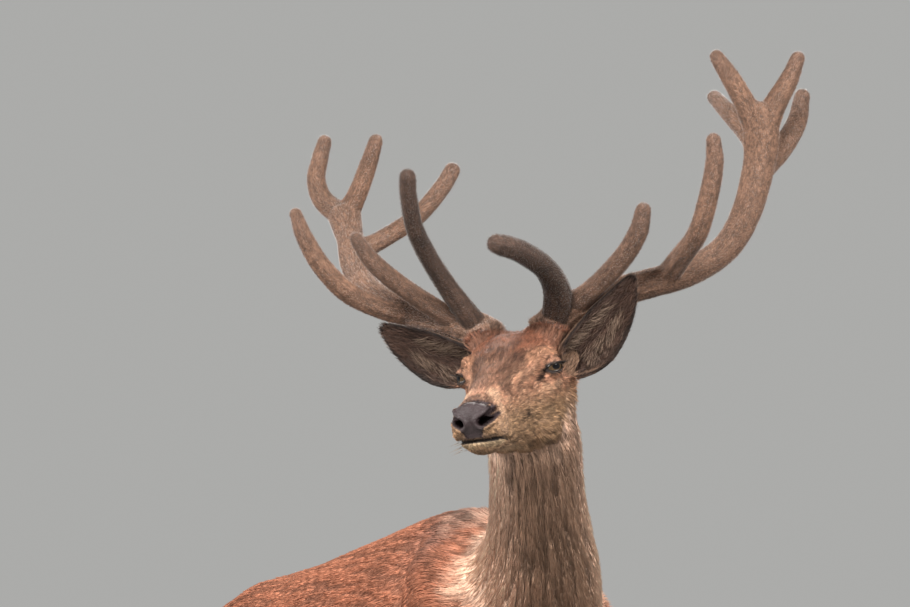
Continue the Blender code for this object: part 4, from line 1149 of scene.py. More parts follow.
def unwrapped(labels, along, angle, count):
    """Places on the skin's own unwrap: a tile for each guide, along it one way and round it the other."""
    across = math.ceil(math.sqrt(count))
    row, column = labels // across, labels % across
    inner = np.column_stack((0.02 + 0.96 * along, 0.02 + 0.96 * (angle / (2 * math.pi) + 0.5)))
    return (inner + np.column_stack((column, row))) / across * (1 - 2 * PATCH) + PATCH / 2


def locks(groups, guides, label, along, angle, seed):
    """Noise from 0 to 1 in cells along the coat: a lock's length along a guide and its width round it."""
    table = np.array([LOCKS.get(name, (0.009, 0.0026)) for name in groups])[label]
    length = np.array([g["length"] for g in guides])[label]
    radius = np.array([g["radius"].mean() for g in guides])[label]
    bend = 0.35 * np.sin(along * length / table[:, 0] * 1.7 + 3.0 * np.cos(angle * 2.0))
    place = np.stack((along * length / table[:, 0], angle * radius / table[:, 1] + bend, label * 7.31), -1)
    return 0.65 * noise(place, 1.0, seed) + 0.35 * noise(place * (1.7, 2.3, 1.0), 1.0, seed + 1)


def tufts(name, roots, facing, lie, sizes, colours, tiles, rng, material, tip_shade=1.25):
    """Closed spikes of four faces: at the root two corners on the skin and one above it, then a tip."""
    count = len(roots)
    length, width, thick, lift = (sizes[:, k, None] * (0.75 + 0.5 * rng.random((count, 1))) for k in range(4))
    lie = unit(lie + 0.09 * rng.normal(size=(count, 3)))
    lie = unit(lie - facing * (lie * facing).sum(1)[:, None])
    side = np.cross(lie, facing)
    low = roots - facing * thick * 0.6
    tip = roots + lie * length + facing * lift
    corners = np.stack((low + side * width / 2, low - side * width / 2, roots + facing * thick, tip), axis=1)
    corners[..., 2] = np.maximum(corners[..., 2], FLOOR_CLEAR / 2)
    base = np.arange(count)[:, None, None] * 4
    faces = base + np.array(((0, 2, 1), (0, 1, 3), (0, 3, 2), (1, 2, 3)))
    mesh = joined_mesh(name, corners.reshape(-1, 3), faces.reshape(-1, 3))
    shade = colours * (0.72 + 0.56 * rng.random((count, 1)))
    # Each tuft darker at its root and lighter at its tip; the much lighter tips given for the velvet's fuzz
    # are a painted rim glow.
    shades = np.column_stack([value + np.zeros(count) for value in (0.72, 0.72, 0.90, tip_shade)])
    painted(mesh, np.clip((shade[:, None] * shades[:, :, None]).reshape(-1, 3), 0, 1))
    patch = tiles[:, None] + np.array(PATCH_PLACES) * PATCH
    unwrap = mesh.uv_layers.new(name="OFBake")
    unwrap.data.foreach_set("uv", patch.reshape(-1, 2)[faces.ravel()].astype(np.float32).ravel())
    mesh.materials.append(material)
    return made(name, mesh)


def tuft_sizes(local, weights, inside_ear):
    """Sizes blended between groups, shorter round the eyes and muzzle, longer on jaw, brisket and poll."""
    table = np.array([TUFTS[name] for name in GROUPS])
    sharp = weights**2
    sizes = (sharp / sharp.sum(1)[:, None]) @ table
    head = soft(group_share(weights, "head"), 0.4, 0.8)
    _, distance = beyond_lid(local)
    short = 1 - 0.5 * head * soft(local[:, 0], 0.10, 0.20) - 0.5 * head * soft(-distance, -0.045, -0.028)
    jaw = 1 + 0.9 * head * soft(-local[:, 2], 0.10, 0.13) * soft(-local[:, 0], -0.19, -0.15)
    sizes[:, 0] *= np.clip(short, 0.35, 1) * jaw
    sizes[:, 3] *= np.clip(short, 0.4, 1) * jaw * (1 - 0.4 * inside_ear)
    return sizes


# The coat's pieces: name, groups, lowest and highest x, how many tufts.
COATS = (
    ("coat_fore", ("trunk", "shoulder"), -0.20, 9.0, 48000),
    ("coat_middle", ("trunk", "shoulder", "thigh"), -0.62, -0.20, 48000),
    ("coat_rear", ("trunk", "thigh", "tail"), -9.0, -0.62, 48000),
    ("coat_neck", ("neck",), -9.0, 9.0, 42000),
    ("coat_head", ("head", "pedicle"), -9.0, 9.0, 49000),
    ("coat_legs", ("forearm", "fore_cannon", "gaskin", "hind_cannon"), -9.0, 9.0, 46000),
    ("coat_ears", ("ear",), -9.0, 9.0, 16000),
)


def bare_share(local):
    """Where no fur grows: the nose pad, the nostrils, the lid edges and the opening of the eyes."""
    past, distance = beyond_lid(local)
    lids = (distance < 0.034) * soft(-past, -0.0040, -0.0020)
    lips = (mouth_distance(local) < 0.0036) * (local[:, 0] > 0.15) * (distance < 0.35)
    nostril = (nostril_distance(local) < 0.0088) * (local[:, 0] > 0.234)
    return np.clip(lids + nose_share(local) + nostril + 0.9 * lips, 0, 1)


def build_coats(skin, material):
    """Tufts over the whole skin, in pieces of their own."""
    points, normals = points_of(skin.data), normals_of(skin.data)
    triangles = triangles_of(skin.data)
    weights, _, _, _ = survey(points, GUIDES)
    label = np.argmax(weights, axis=1)
    local, _ = to_head(points)
    grow = np.clip(1 - bare_share(local), 0, 1) * (points[:, 2] > FLOOR_CLEAR * 1.5)
    pieces = []
    for seed, (name, groups, low, high, count) in enumerate(COATS):
        of_group = np.isin(label, [g for g, group in enumerate(GROUPS) if group in groups])
        if "trunk" in groups:
            of_group &= (points[:, 0] >= low) & (points[:, 0] < high)
        share = grow * of_group
        if name == "coat_head":
            share = share * (1 + 1.2 * soft(local[:, 0], -0.06, 0.02))
        inside = triangles[of_group[triangles].any(1)]
        roots, facing, rng = scattered(points, normals, inside, share, count, seed + 40)
        root_weights, along, angle, lie = survey(roots, GUIDES)
        root_label = np.argmax(root_weights, axis=1)
        places = np.arange(count)
        used = np.unique(root_label)
        tile = np.searchsorted(used, root_label)
        ear_in = ear_shares(roots, facing)[0] if name in ("coat_ears", "coat_head") else np.zeros(count)
        if name == "coat_ears":
            tile = tile + len(used) * (ear_in > 0.5)
        tiles = unwrapped(tile, along[places, root_label], angle[places, root_label],
                          len(used) * (2 if name == "coat_ears" else 1))
        sizes = tuft_sizes(to_head(roots)[0], root_weights, ear_in)
        lock = locks(GROUPS, GUIDES, root_label, along[places, root_label], angle[places, root_label], 61)
        lock = soft(lock, 0.30, 0.70)
        # Locks that stand higher are painted lighter and low ones darker: painted light and shade on the
        # clumps, as well as tone that differs from lock to lock.
        sizes[:, 3] *= 0.3 + 1.4 * lock
        swing = 0.38 if name == "coat_neck" else 0.40
        colours = coat_colour(roots, facing, root_weights) * (0.90 + swing * (2 * lock - 1))[:, None]
        pieces.append(tufts(name, roots, facing, lie, sizes, colours, tiles, rng, material))
    return pieces


# ---- antlers in velvet ----

BURR_AT = 0.040  # metres up the beam; below it the reddish hair of the head runs up round the beam
BURR_RISE = 0.0042
GROOVE = 0.0016


def world_rows(rows, side):
    """Rows of place and radius moved from the head's frame to the world."""
    rows = np.asarray(rows, float)
    return np.column_stack((on_head(rows[:, :3], side), rows[:, 3]))


def antler_guides(word, side):
    """The path of the beam and of each tine of one antler."""
    found = []
    for name, rows in ANTLERS[word].items():
        rows = spread(world_rows(rows, side), 40)
        ahead, sides, ups = frames(rows[:, :3], (0.31, 0.77, 0.52))
        found.append({"group": name, "path": rows[:, :3], "radius": rows[:, 3], "lie": ahead, "ahead": ahead,
                      "sides": sides, "ups": ups,
                      "length": np.linalg.norm(np.diff(rows[:, :3], axis=0), axis=1).sum()})
    return found


def velvet_colour(points, label, metres, run, names):
    """Brown velvet: darker on the brow tine and near the tips, reddish below the burr, finely speckled."""
    base = np.tile(tone(104, 78, 63), (len(points), 1))
    dark = np.array([0.95 if name == "brow" else 0.35 if name == "bez" else 0.0 for name in names])[label]
    base = blend(base, tone(40, 29, 24), dark * (0.75 + 0.25 * run))
    free = np.array([0.0 if name == "beam" else 1.0 for name in names])[label]
    base = blend(base, tone(88, 68, 58), 0.55 * free * soft(run, 0.45, 1.0))
    beam = 1 - free
    base = blend(base, tone(118, 92, 76), beam * soft(-metres, -0.16, -0.05) * 0.8)
    base = blend(base, tone(98, 76, 64), beam * np.exp(-(((metres - BURR_AT) / 0.012) ** 2)) * 0.8)
    base = blend(base, COLOURS["poll"] * 0.85, 0.9 * beam * soft(-metres, 0.012 - BURR_AT, 0.022 - BURR_AT))
    return base * (0.60 + 0.20 * noise(points, 0.035, 8) + 0.46 * flecks(points, 0.0026, 9))[:, None]


def build_antler(word, side, velvet, fuzz):
    """Beam and tines fused, grooved lengthwise near the base, rough at the burr, then covered with fuzz."""
    skins = [tine(world_rows(rows, side), 60, 40, VELVET_DEPTH) for rows in ANTLERS[word].values()]
    antler = fuse(from_skins("antler_" + word, skins), ANTLER_VOXEL, 7)
    guides = antler_guides(word, side)
    names = [g["group"] for g in guides]
    lengths = np.array([g["length"] for g in guides])
    beam = names.index("beam")

    def places(points):
        """Weights and lie, and the nearest guide of each point with the place along and round it."""
        weights, along, angle, lie = survey(points, guides)
        label, index = np.argmax(weights, axis=1), np.arange(len(points))
        return label, along[index, label], angle[index, label], lie

    points, normals = points_of(antler.data), normals_of(antler.data)
    label, run, angle, _ = places(points)
    metres = run * lengths[label]
    grain = np.stack((np.cos(angle), np.sin(angle), metres / 0.30), -1) + label[:, None] * 3.7
    strength = np.where(label == beam, soft(-metres, -0.62, -0.10), soft(-run, -0.7, -0.1) * 0.8)
    groove = strength * soft(noise(grain, 0.15, 31), 0.42, 0.62)
    burr = np.exp(-(((metres - BURR_AT) / 0.010) ** 2)) * (label == beam)
    below = soft(-metres, 0.004 - BURR_AT, 0.014 - BURR_AT) * (label == beam)
    wrinkled = soft(run, 0.70, 0.95) * (np.array(names)[label] == "brow") * (side > 0)
    push = -GROOVE * groove * (1 - below) + 0.0007 * (noise(points, 0.018, 33) - 0.5)
    push += burr * BURR_RISE * (0.25 + 1.3 * noise(points, 0.0075, 34))
    push += wrinkled * 0.0030 * (noise(points, 0.009, 35) - 0.45)
    push -= 0.0020 * below
    move_to(antler.data, points + normals * push[:, None])
    points, normals = points_of(antler.data), normals_of(antler.data)
    streak = soft(locks(names, guides, label, run, angle, 63), 0.35, 0.65)
    colour = velvet_colour(points, label, metres, run, names)
    # Painted shade: the velvet up to 40 per cent darker down its grooves, except below the burr; the streaks
    # are its own pattern.
    colour *= ((1 - 0.40 * groove * (1 - below)) * (0.72 + 0.40 * streak))[:, None]
    painted(antler.data, np.clip(colour, 0, 1))
    attribute = antler.data.attributes.new("grain", "FLOAT_VECTOR", "POINT")
    attribute.data.foreach_set("vector", grain.astype(np.float32).ravel())
    antler.data.materials.clear()
    antler.data.materials.append(velvet)
    count = 38000
    share = 1 + 2.5 * burr + 3.0 * below
    roots, facing, rng = scattered(points, normals, triangles_of(antler.data), share, count, 71 + side)
    label, run, angle, lie = places(roots)
    metres = run * lengths[label]
    tiles = unwrapped(label, run, angle, len(guides))
    near_burr = np.exp(-(((metres - BURR_AT) / 0.012) ** 2)) * (label == beam)
    below = soft(-metres, 0.002 - BURR_AT, 0.010 - BURR_AT) * (label == beam)
    sizes = np.tile((0.0030, 0.00080, 0.0004, 0.0022), (count, 1))
    sizes *= 1 + near_burr[:, None] * (0.8, 0.5, 0.4, 0.8) + below[:, None] * (2.2, 0.6, 0.4, 0.2)
    lock = soft(locks(names, guides, label, run, angle, 63), 0.30, 0.70)
    colours = velvet_colour(roots, label, metres, run, names) * (0.62 + 0.62 * lock)[:, None]
    # Painted rim light: the tips of the velvet's fuzz are painted 2.2 times as light as their colour, so that
    # the edges glow as if lit from behind; on the hair below the burr, 1.3 times.
    hair = tufts("velvet_" + word, roots, facing, lie, sizes, np.clip(colours, 0, 1), tiles, rng, fuzz,
                 2.2 - 0.9 * below)
    return antler, hair


# ---- eyes ----

def build_eye(word, side, material):
    """A ball of rings round the gaze, its clear front a little proud; it keeps each point's place on it."""
    polar = np.linspace(0, math.pi, 49)[1:-1]
    turn_round = np.linspace(0, 2 * math.pi, 64, endpoint=False)
    shape = np.stack((np.sin(polar)[:, None] * np.cos(turn_round),
                      np.sin(polar)[:, None] * np.sin(turn_round),
                      np.cos(polar)[:, None] + 0 * turn_round), -1)
    proud = 1 + 0.045 * np.clip(1 - (polar / math.radians(42)) ** 2, 0, 1) ** 1.2
    local = np.array(EYE_AT) + (shape * proud[:, None, None] * BALL_RADIUS) @ EYE_AXES.T
    points, faces = closed(local[::-1])
    points[-2:] = np.array(EYE_AT) + np.array((-BALL_RADIUS, BALL_RADIUS * 1.045))[:, None] * EYE_AXES[:, 2]
    eye = outward(from_skins("eyeball_" + word, [(on_head(points, side), faces)]))
    gaze = ((points - np.array(EYE_AT)) / BALL_RADIUS) @ EYE_AXES
    attribute = eye.data.attributes.new("gaze", "FLOAT_VECTOR", "POINT")
    attribute.data.foreach_set("vector", gaze.astype(np.float32).ravel())
    eye.data.polygons.foreach_set("use_smooth", np.ones(len(eye.data.polygons), bool))
    eye.data.materials.append(material)
    return eye


def lid_edge(count):
    """The edge of the slit as angles: along the upper lid from the inner corner, and back along the lower."""
    low, high = np.radians(CORNERS)
    t = (1 - np.cos(np.linspace(0, math.pi, count // 2, endpoint=False))) / 2
    there, back = low + (high - low) * t, high + (low - high) * t
    return np.concatenate((there, back)), np.concatenate((lid_height(there)[0], -lid_height(back)[1]))


def build_lid_edges(material):
    """Dark moist edges: a soft ring carried round each slit."""
    skins = []
    across, up = lid_edge(96)
    for _, side in SIDES:
        path = on_eye(across, up, BALL_RADIUS + 0.0012)
        out = unit(path - np.array(EYE_AT))
        ahead = unit(np.roll(path, -1, 0) - np.roll(path, 1, 0))
        cross = np.cross(ahead, out)
        a = np.linspace(0, 2 * math.pi, 12, endpoint=False)
        round_edge = np.cos(a)[:, None] * out[:, None] + np.sin(a)[:, None] * cross[:, None]
        ring = path[:, None] + 0.0011 * round_edge
        i, j = np.meshgrid(np.arange(96), np.arange(12), indexing="ij")
        i2, j2 = (i + 1) % 96, (j + 1) % 12
        faces = np.stack((i * 12 + j, i * 12 + j2, i2 * 12 + j2, i2 * 12 + j), -1).reshape(-1, 4).tolist()
        skins.append((on_head(ring.reshape(-1, 3), side), faces))
    edges = outward(from_skins("lid_edges", skins))
    edges.data.polygons.foreach_set("use_smooth", np.ones(len(edges.data.polygons), bool))
    edges.data.materials.append(material)
    return edges


def build_long_hairs(material):
    """Eyelashes along the upper lids, whiskers on lips and chin, and the long pale hairs inside the ears."""
    rng = np.random.default_rng(17)
    roots, ways, outs, sizes, colours, tiles = ([] for _ in range(6))

    def add(places, lies, faces_out, size, colour, tile, side):
        count = len(places)
        roots.append(on_head(places, side))
        ways.append((lies * (1, side, 1)) @ HEAD_AXES.T)
        outs.append((faces_out * (1, side, 1)) @ HEAD_AXES.T)
        sizes.append(np.array(size) * (0.7 + 0.6 * rng.random((count, 1))))
        colours.append(np.tile(colour, (count, 1)))
        spot = np.column_stack((np.arange(count) / count, rng.random(count)))
        tiles.append((spot * 0.46 + np.array((tile % 2, tile // 2)) * 0.5) * (1 - PATCH))

    for tile, (word, side) in enumerate(SIDES):
        low, high = np.radians(CORNERS)
        across = rng.uniform(low * 0.5, high * 0.97, 110)
        edge = on_eye(across, lid_height(across)[0], BALL_RADIUS + 0.0022)
        out = unit(edge - np.array(EYE_AT))
        add(edge, unit(out + EYE_AXES[:, 0] * 0.35 - EYE_AXES[:, 1] * 0.15), EYE_AXES[:, 1] + 0 * edge,
            (0.0090, 0.00045, 0.00045, 0.0020), tone(30, 24, 22), tile, side)
        count = 26
        spot = np.column_stack((rng.uniform(0.185, 0.255, count), rng.uniform(0.022, 0.040, count),
                                rng.uniform(-0.104, -0.070, count)))
        spot[:, 1] = np.minimum(spot[:, 1], 0.046 - 3.2 * (spot[:, 0] - 0.225).clip(0) ** 1.35)
        add(spot, unit(np.array((0.25, 0.9, -0.45)) + 0.25 * rng.normal(size=(count, 3))),
            np.array((0, 0.3, 1)) + 0 * spot,
            (0.018, 0.00035, 0.00035, 0.0005), tone(120, 98, 78), tile, side)
        count = 420
        u = rng.uniform(0.10, 0.62, count)
        v = np.sign(rng.random(count) - 0.45) * rng.normal(0.42, 0.13, count)
        sheet, opening = ear_sheet(word, u, v)
        centre, _ = ear_sheet(word, u + 0.06, v * 0.55)
        inner = unit(opening + 0 * sheet)
        add(sheet + inner * 0.0022,
            unit(unit(centre - sheet) + 0.75 * inner + 0.35 * unit(np.array(EARS[word][1]))
                 + 0.22 * rng.normal(size=(count, 3))), inner,
            (0.021, 0.0007, 0.0004, 0.0020), tone(118, 100, 87), tile + 2, side)
    return tufts("long_hairs", *(np.vstack(part) for part in (roots, outs, ways, sizes, colours, tiles)),
                 rng, material)


# ---- hooves ----

def claw_rows(hoof, offset):
    """Rows of one claw, beside the middle line of the foot and turned a little towards it."""
    at, ahead = (np.array(v) for v in hoof)
    forward = ahead / np.linalg.norm(ahead)
    start = at + np.array((0.0, offset, 0.0))
    return [(*(start + forward * d - np.array((0.0, offset * 2.2, 0.0)) * d), w, h) for d, w, h in CLAW]


def dewclaw_rows(hoof, offset):
    """Rows of one small dewclaw behind the fetlock, pointing back and up."""
    at, ahead = (np.array(v) for v in hoof)
    forward = ahead / np.linalg.norm(ahead)
    heel = at - forward * 0.060 + np.array((0.0, offset, 0.018))
    lift = np.array((forward[0] * 0.9, 0.0, 0.3))
    return [(*(heel + lift * d), r, r) for d, r in (
        (-0.006, DEWCLAW_RADIUS), (DEWCLAW_LENGTH * 0.5, DEWCLAW_RADIUS * 0.85),
        (DEWCLAW_LENGTH, DEWCLAW_RADIUS * 0.35))]


def build_hoof(leg, hoof, right, material):
    """Two claws and two dewclaws, ringed with growth lines, flat where they lie on the floor."""
    skins = []
    for offset in (CLAW_APART, -CLAW_APART):
        for rows, along in ((claw_rows(hoof, offset), 60), (dewclaw_rows(hoof, offset * 0.95), 24)):
            points, faces = limb(rows, along, 32, 0.0003)
            middle = points[:-2].reshape(along, 32, 3).mean(1)
            depth = np.repeat(0.0004 * np.cos(np.linspace(0, 26 * math.pi, along)), 32)
            off = unit(points[:-2] - np.repeat(middle, 32, axis=0))
            points[:-2] += off * depth[:, None] * np.repeat(np.linspace(1, 0, along), 32)[:, None]
            points[:, 2] = np.maximum(points[:, 2], FLOOR_CLEAR / 2)
            skins.append(mirrored((points, faces), RIGHT_BACK[leg]) if right else (points, faces))
    piece = outward(from_skins(f"hoof_{leg}_{'right' if right else 'left'}", skins))
    piece.data.polygons.foreach_set("use_smooth", np.ones(len(piece.data.polygons), bool))
    piece.data.materials.append(material)
    return piece


# ---- materials ----

def socket_group(name, inputs, outputs):
    """An empty shader node group with named inputs and outputs, and its input and output nodes."""
    tree = bpy.data.node_groups.new(name, "ShaderNodeTree")
    for label, kind, value in inputs:
        made_socket = tree.interface.new_socket(label, in_out="INPUT", socket_type=kind)
        if value is not None:
            made_socket.default_value = value
    for label, kind in outputs:
        tree.interface.new_socket(label, in_out="OUTPUT", socket_type=kind)
    return tree, tree.nodes.new("NodeGroupInput"), tree.nodes.new("NodeGroupOutput")


def add_noise(tree, vector, scale, detail=3.0, roughness=0.55):
    node = tree.nodes.new("ShaderNodeTexNoise")
    node.inputs["Detail"].default_value = detail
    node.inputs["Roughness"].default_value = roughness
    if isinstance(scale, (int, float)):
        node.inputs["Scale"].default_value = scale
    else:
        tree.links.new(scale, node.inputs["Scale"])
    tree.links.new(vector, node.inputs["Vector"])
    return node.outputs["Fac"]


def add_math(tree, operation, first, second):
    node = tree.nodes.new("ShaderNodeMath")
    node.operation = operation
    for socket, value in zip(node.inputs, (first, second)):
        if isinstance(value, (int, float)):
            socket.default_value = value
        else:
            tree.links.new(value, socket)
    return node.outputs[0]


def mottle_group():
    """Darkens and lightens a colour by two sizes of noise, and gives the same noise as a height."""
    tree, given, result = socket_group(
        "mottle",
        (("Vector", "NodeSocketVector", None), ("Colour", "NodeSocketColor", None),
         ("Scale", "NodeSocketFloat", 200.0), ("Amount", "NodeSocketFloat", 0.3)),
        (("Colour", "NodeSocketColor"), ("Height", "NodeSocketFloat")))
    fine = add_noise(tree, given.outputs["Vector"], given.outputs["Scale"])
    wide_scale = add_math(tree, "MULTIPLY", given.outputs["Scale"], 0.21)
    wide = add_noise(tree, given.outputs["Vector"], wide_scale)
    both = add_math(tree, "ADD", add_math(tree, "MULTIPLY", fine, 0.65),
                    add_math(tree, "MULTIPLY", wide, 0.35))
    swing = add_math(tree, "MULTIPLY", add_math(tree, "SUBTRACT", both, 0.5), given.outputs["Amount"])
    gain = add_math(tree, "ADD", add_math(tree, "MULTIPLY", swing, 2.0), 1.0)
    scale = tree.nodes.new("ShaderNodeVectorMath")
    scale.operation = "SCALE"
    tree.links.new(given.outputs["Colour"], scale.inputs[0])
    tree.links.new(gain, scale.inputs["Scale"])
    tree.links.new(scale.outputs[0], result.inputs["Colour"])
    tree.links.new(both, result.inputs["Height"])
    return tree


MOTTLE = mottle_group()


def surface(name, colour=None, attribute=None, roughness=0.7, scale=260.0, amount=0.25,
            bump=0.3, distance=0.001, vector=None, **constants):
    """A material of mottled colour and matching bump; constants go straight on the shader's sockets."""
    material = bpy.data.materials.new(name)
    material.use_nodes = True
    tree = material.node_tree
    shader = tree.nodes["Principled BSDF"]
    shader.inputs["Roughness"].default_value = roughness
    for label, value in constants.items():
        shader.inputs[label.replace("_", " ")].default_value = value
    mottle = tree.nodes.new("ShaderNodeGroup")
    mottle.node_tree = MOTTLE
    mottle.inputs["Scale"].default_value = scale
    mottle.inputs["Amount"].default_value = amount
    if vector is None:
        place = tree.nodes.new("ShaderNodeTexCoord")
        tree.links.new(place.outputs["Object"], mottle.inputs["Vector"])
    else:
        place = tree.nodes.new("ShaderNodeAttribute")
        place.attribute_name = vector
        tree.links.new(place.outputs["Vector"], mottle.inputs["Vector"])
    if attribute is None:
        mottle.inputs["Colour"].default_value = (*colour, 1.0)
    else:
        source = tree.nodes.new("ShaderNodeAttribute")
        source.attribute_name = attribute
        tree.links.new(source.outputs["Color"], mottle.inputs["Colour"])
    tree.links.new(mottle.outputs["Colour"], shader.inputs["Base Color"])
    rough = tree.nodes.new("ShaderNodeBump")
    rough.inputs["Strength"].default_value = bump
    rough.inputs["Distance"].default_value = distance
    tree.links.new(mottle.outputs["Height"], rough.inputs["Height"])
    tree.links.new(rough.outputs["Normal"], shader.inputs["Normal"])
    return material


def skin_surface():
    """The coat's colour over close short hair; the bare nose is wet and pebbled."""
    material = surface("short_coat", attribute="coat", roughness=0.72, scale=420.0, amount=0.32, bump=0.5,
                       distance=0.0012)
    tree = material.node_tree
    shader = tree.nodes["Principled BSDF"]
    wet = tree.nodes.new("ShaderNodeAttribute")
    wet.attribute_name = "wet"
    mix = add_math(tree, "SUBTRACT", 0.72, add_math(tree, "MULTIPLY", wet.outputs["Fac"], 0.28))
    tree.links.new(mix, shader.inputs["Roughness"])
    gleam = tree.nodes.new("ShaderNodeAttribute")
    gleam.attribute_name = "gleam"
    tree.links.new(add_math(tree, "MULTIPLY", gleam.outputs["Fac"], 0.35),
                   shader.inputs["Specular IOR Level"])
    pebbles = tree.nodes.new("ShaderNodeTexVoronoi")
    pebbles.inputs["Scale"].default_value = 520.0
    place = tree.nodes.new("ShaderNodeTexCoord")
    tree.links.new(place.outputs["Object"], pebbles.inputs["Vector"])
    height = add_math(tree, "MULTIPLY", pebbles.outputs["Distance"], wet.outputs["Fac"])
    second = tree.nodes.new("ShaderNodeBump")
    second.inputs["Strength"].default_value = 0.9
    second.inputs["Distance"].default_value = 0.0012
    first = shader.inputs["Normal"].links[0].from_node
    tree.links.new(height, second.inputs["Height"])
    tree.links.new(first.outputs["Normal"], second.inputs["Normal"])
    tree.links.new(second.outputs["Normal"], shader.inputs["Normal"])
    return material


def add_mix(tree, share, first, second):
    """One colour over another by a share; each colour is a socket or four numbers."""
    node = tree.nodes.new("ShaderNodeMixRGB")
    tree.links.new(share, node.inputs["Fac"])
    for label, value in (("Color1", first), ("Color2", second)):
        if isinstance(value, tuple):
            node.inputs[label].default_value = value
        else:
            tree.links.new(value, node.inputs[label])
    return node.outputs["Color"]


def add_step(tree, value, low, high):
    node = tree.nodes.new("ShaderNodeMapRange")
    node.interpolation_type = "SMOOTHSTEP"
    node.inputs["From Min"].default_value = low
    node.inputs["From Max"].default_value = high
    tree.links.new(value, node.inputs["Value"])
    return node.outputs["Result"]


def eye_surface():
    """A dark brown iris with fine rays round a level oval pupil, in a wet dark ball."""
    material = bpy.data.materials.new("wet_eye")
    material.use_nodes = True
    tree = material.node_tree
    shader = tree.nodes["Principled BSDF"]
    shader.inputs["Roughness"].default_value = 0.04
    shader.inputs["Specular IOR Level"].default_value = 0.22
    gaze = tree.nodes.new("ShaderNodeAttribute")
    gaze.attribute_name = "gaze"
    parts = tree.nodes.new("ShaderNodeSeparateXYZ")
    tree.links.new(gaze.outputs["Vector"], parts.inputs[0])
    across, up = parts.outputs["X"], parts.outputs["Y"]
    around = add_math(tree, "ARCTAN2", up, across)
    radius = add_math(tree, "SQRT", add_math(tree, "ADD", add_math(tree, "MULTIPLY", across, across),
                                             add_math(tree, "MULTIPLY", up, up)), 0.0)
    ray_place = tree.nodes.new("ShaderNodeCombineXYZ")
    tree.links.new(add_math(tree, "MULTIPLY", around, 9.0), ray_place.inputs["X"])
    tree.links.new(add_math(tree, "MULTIPLY", radius, 3.0), ray_place.inputs["Y"])
    rays = add_noise(tree, ray_place.outputs[0], 1.6, 4.0)
    iris = add_mix(tree, add_step(tree, rays, 0.35, 0.70), (0.022, 0.013, 0.007, 1), (0.13, 0.078, 0.034, 1))
    flat = add_math(tree, "ADD", add_math(tree, "POWER", add_math(tree, "DIVIDE", across, 0.40), 2.0),
                    add_math(tree, "POWER", add_math(tree, "DIVIDE", up, 0.25), 2.0))
    inner = add_mix(tree, add_step(tree, flat, 0.85, 1.15), (0.004, 0.004, 0.005, 1), iris)
    outer = add_mix(tree, add_step(tree, radius, 0.60, 0.70), inner, (0.012, 0.008, 0.007, 1))
    tree.links.new(outer, shader.inputs["Base Color"])
    return material


# ---- the scene ----

VIEW_TURN, VIEW_RISE, VIEW_REACH = 30.0, -4.5, 9.0  # degrees and metres, from the head
VIEW_SHIFT = (-0.0897, 0.1198)  # metres: the middle of the view is left of the head's origin and above it
VIEW_WIDTH = 1.5690  # metres across at the head


def build_view():
    """The camera, a long way off, low and to the animal's right front, looking slightly up at the head."""
    turned, rise = math.radians(VIEW_TURN), math.radians(VIEW_RISE)
    level = Vector((math.cos(turned), -math.sin(turned), 0))
    out = math.cos(rise) * level + math.sin(rise) * Vector((0, 0, 1))
    right = Vector((math.sin(turned), math.cos(turned), 0))
    up = out.cross(right)
    centre = Vector(HEAD_AT) + right * VIEW_SHIFT[0] + up * VIEW_SHIFT[1]
    camera = bpy.data.cameras.new("view")
    camera.sensor_width = 36.0
    camera.lens = camera.sensor_width * VIEW_REACH / VIEW_WIDTH
    seen = bpy.data.objects.new("view", camera)
    bpy.context.scene.collection.objects.link(seen)
    axes = Matrix((right, up, out)).transposed().to_4x4()
    seen.matrix_world = Matrix.Translation(centre + out * VIEW_REACH) @ axes
    bpy.context.scene.camera = seen


def build_light(name, place, aim, size, power, colour=(1, 1, 1)):
    """A round area light at a place, turned towards its aim."""
    lamp = bpy.data.lights.new(name, "AREA")
    lamp.shape = "DISK"
    lamp.size = size
    lamp.energy = power
    lamp.color = colour
    thing = bpy.data.objects.new(name, lamp)
    thing.location = place
    thing.rotation_mode = "QUATERNION"
    thing.rotation_quaternion = (Vector(aim) - Vector(place)).to_track_quat("-Z", "Y")
    bpy.context.scene.collection.objects.link(thing)


def build_studio():
    """The pale world, four soft lights and the floor."""
    world = bpy.data.worlds.new("studio")
    world.use_nodes = True
    world.node_tree.nodes["Background"].inputs["Color"].default_value = (0.82, 0.82, 0.80, 1)
    world.node_tree.nodes["Background"].inputs["Strength"].default_value = 0.50
    bpy.context.scene.world = world
    build_light("key", (3.4, -3.4, 3.4), (0.4, -0.1, 0.8), 1.8, 460, (1.0, 0.97, 0.93))
    build_light("rim", (-2.6, 2.4, 3.4), (0.2, 0.0, 0.9), 1.6, 150, (1.0, 0.96, 0.90))
    build_light("side", (-2.0, -3.2, 2.6), (0.2, 0.0, 0.9), 1.4, 170, (1.0, 0.97, 0.94))
    build_light("fill", (4.2, 2.0, 3.6), (0.4, 0.0, 0.9), 2.2, 360, (1.0, 0.97, 0.93))
    bpy.ops.mesh.primitive_circle_add(vertices=96, radius=14.0, fill_type="NGON")
    floor = bpy.context.object
    floor.name = "floor"
    floor.data.materials.append(surface("pale_floor", colour=(0.27, 0.266, 0.26), roughness=0.85, scale=3.0,
                                        amount=0.03, bump=0.02, distance=0.002))


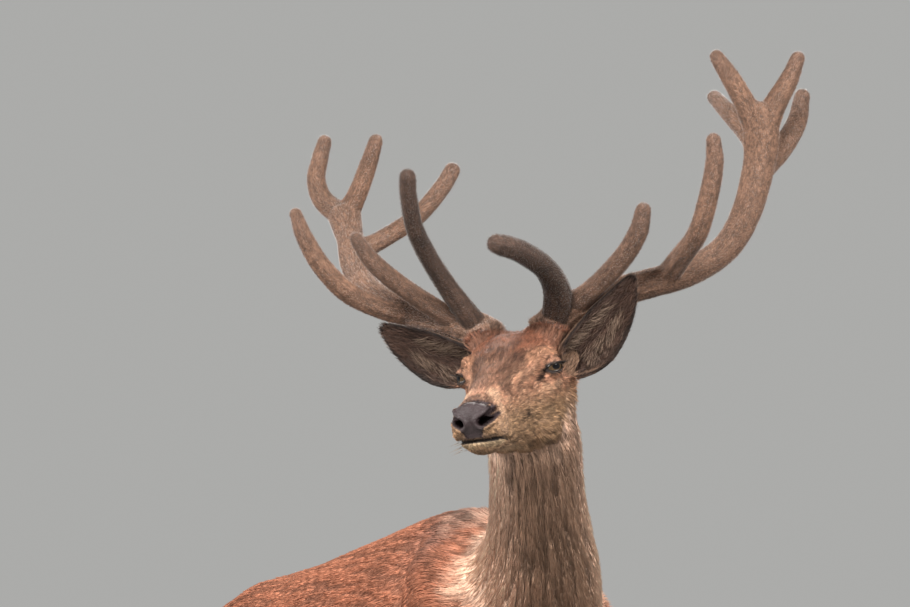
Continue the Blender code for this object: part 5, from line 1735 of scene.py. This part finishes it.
def main():
    """Make the materials and every piece, and tell the frame what each rides on and replaces."""
    coat = skin_surface()
    fur = surface("fur", attribute="coat", roughness=0.62, scale=90.0, amount=0.10,
                  bump=0.05, distance=0.0003, Specular_IOR_Level=0.15)
    velvet = surface("velvet", attribute="coat", roughness=0.85, scale=12.0, amount=0.35,
                     bump=0.7, distance=0.0012, vector="grain", Sheen_Weight=0.3,
                     Sheen_Roughness=0.25, Specular_IOR_Level=0.3)
    fuzz = surface("velvet_fuzz", attribute="coat", roughness=0.75, scale=300.0, amount=0.10, bump=0.05,
                   distance=0.0002, Sheen_Weight=0.5, Sheen_Roughness=0.25, Specular_IOR_Level=0.3)
    horn = surface("hoof_horn", colour=tone(48, 42, 40), roughness=0.42, scale=110.0, amount=0.35, bump=0.25,
                   distance=0.0006)
    lid = surface("lid_edge", colour=tone(34, 26, 24), roughness=0.22, scale=600.0, amount=0.3, bump=0.2,
                  distance=0.0003)
    eye = eye_surface()
    skin = build_skin()
    mesh = skin.data
    points, normals = points_of(mesh), normals_of(mesh)
    weights, _, _, _ = survey(points, GUIDES)
    local, _ = to_head(points)
    painted(mesh, coat_colour(points, normals, weights))
    wet = mesh.attributes.new("wet", "FLOAT", "POINT")
    wet.data.foreach_set("value", (nose_share(local) * (nostril_distance(local) > 0.0085)).astype(np.float32))
    gleam = mesh.attributes.new("gleam", "FLOAT", "POINT")
    gleam.data.foreach_set("value", soft(nostril_distance(local), 0.0070, 0.0100).astype(np.float32))
    mesh.materials.clear()
    mesh.materials.append(coat)
    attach(skin, "root")
    flesh = ["head", "lower_jaw", "nose", "neck", "trunk", "tail"]
    for word, _ in SIDES:
        flesh += [f"foreleg_{word}_forearm", f"foreleg_{word}_cannon", f"hindleg_{word}_thigh",
                  f"hindleg_{word}_gaskin", f"hindleg_{word}_cannon", f"ear_{word}"]
    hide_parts(*flesh)
    for piece in build_coats(skin, fur):
        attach(piece, "root")
    hairs = build_long_hairs(fur)
    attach(hairs, "root")
    for word, side in SIDES:
        antler, hair = build_antler(word, side, velvet, fuzz)
        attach(antler, "root")
        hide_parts(f"antler_{word}_beam_lower", f"antler_{word}_beam_upper",
                    *(f"antler_{word}_{name}" for name in ANTLERS[word] if name != "beam"))
        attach(hair, "root")
        ball_piece = build_eye(word, side, eye)
        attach(ball_piece, "root")
        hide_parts("eye_" + word)
        for leg, hoof in (("foreleg", FORE_HOOF), ("hindleg", HIND_HOOF)):
            piece = build_hoof(leg, hoof, side < 0, horn)
            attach(piece, "root")
            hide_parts(*(f"{leg}_{word}_{kind}_{place}" for kind in ("claw", "dewclaw")
                                 for place in ("outer", "inner")))
    edges = build_lid_edges(lid)
    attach(edges, "root")
    build_view()
    build_studio()
    scene = bpy.context.scene
    scene.view_settings.view_transform = "Standard"


main()
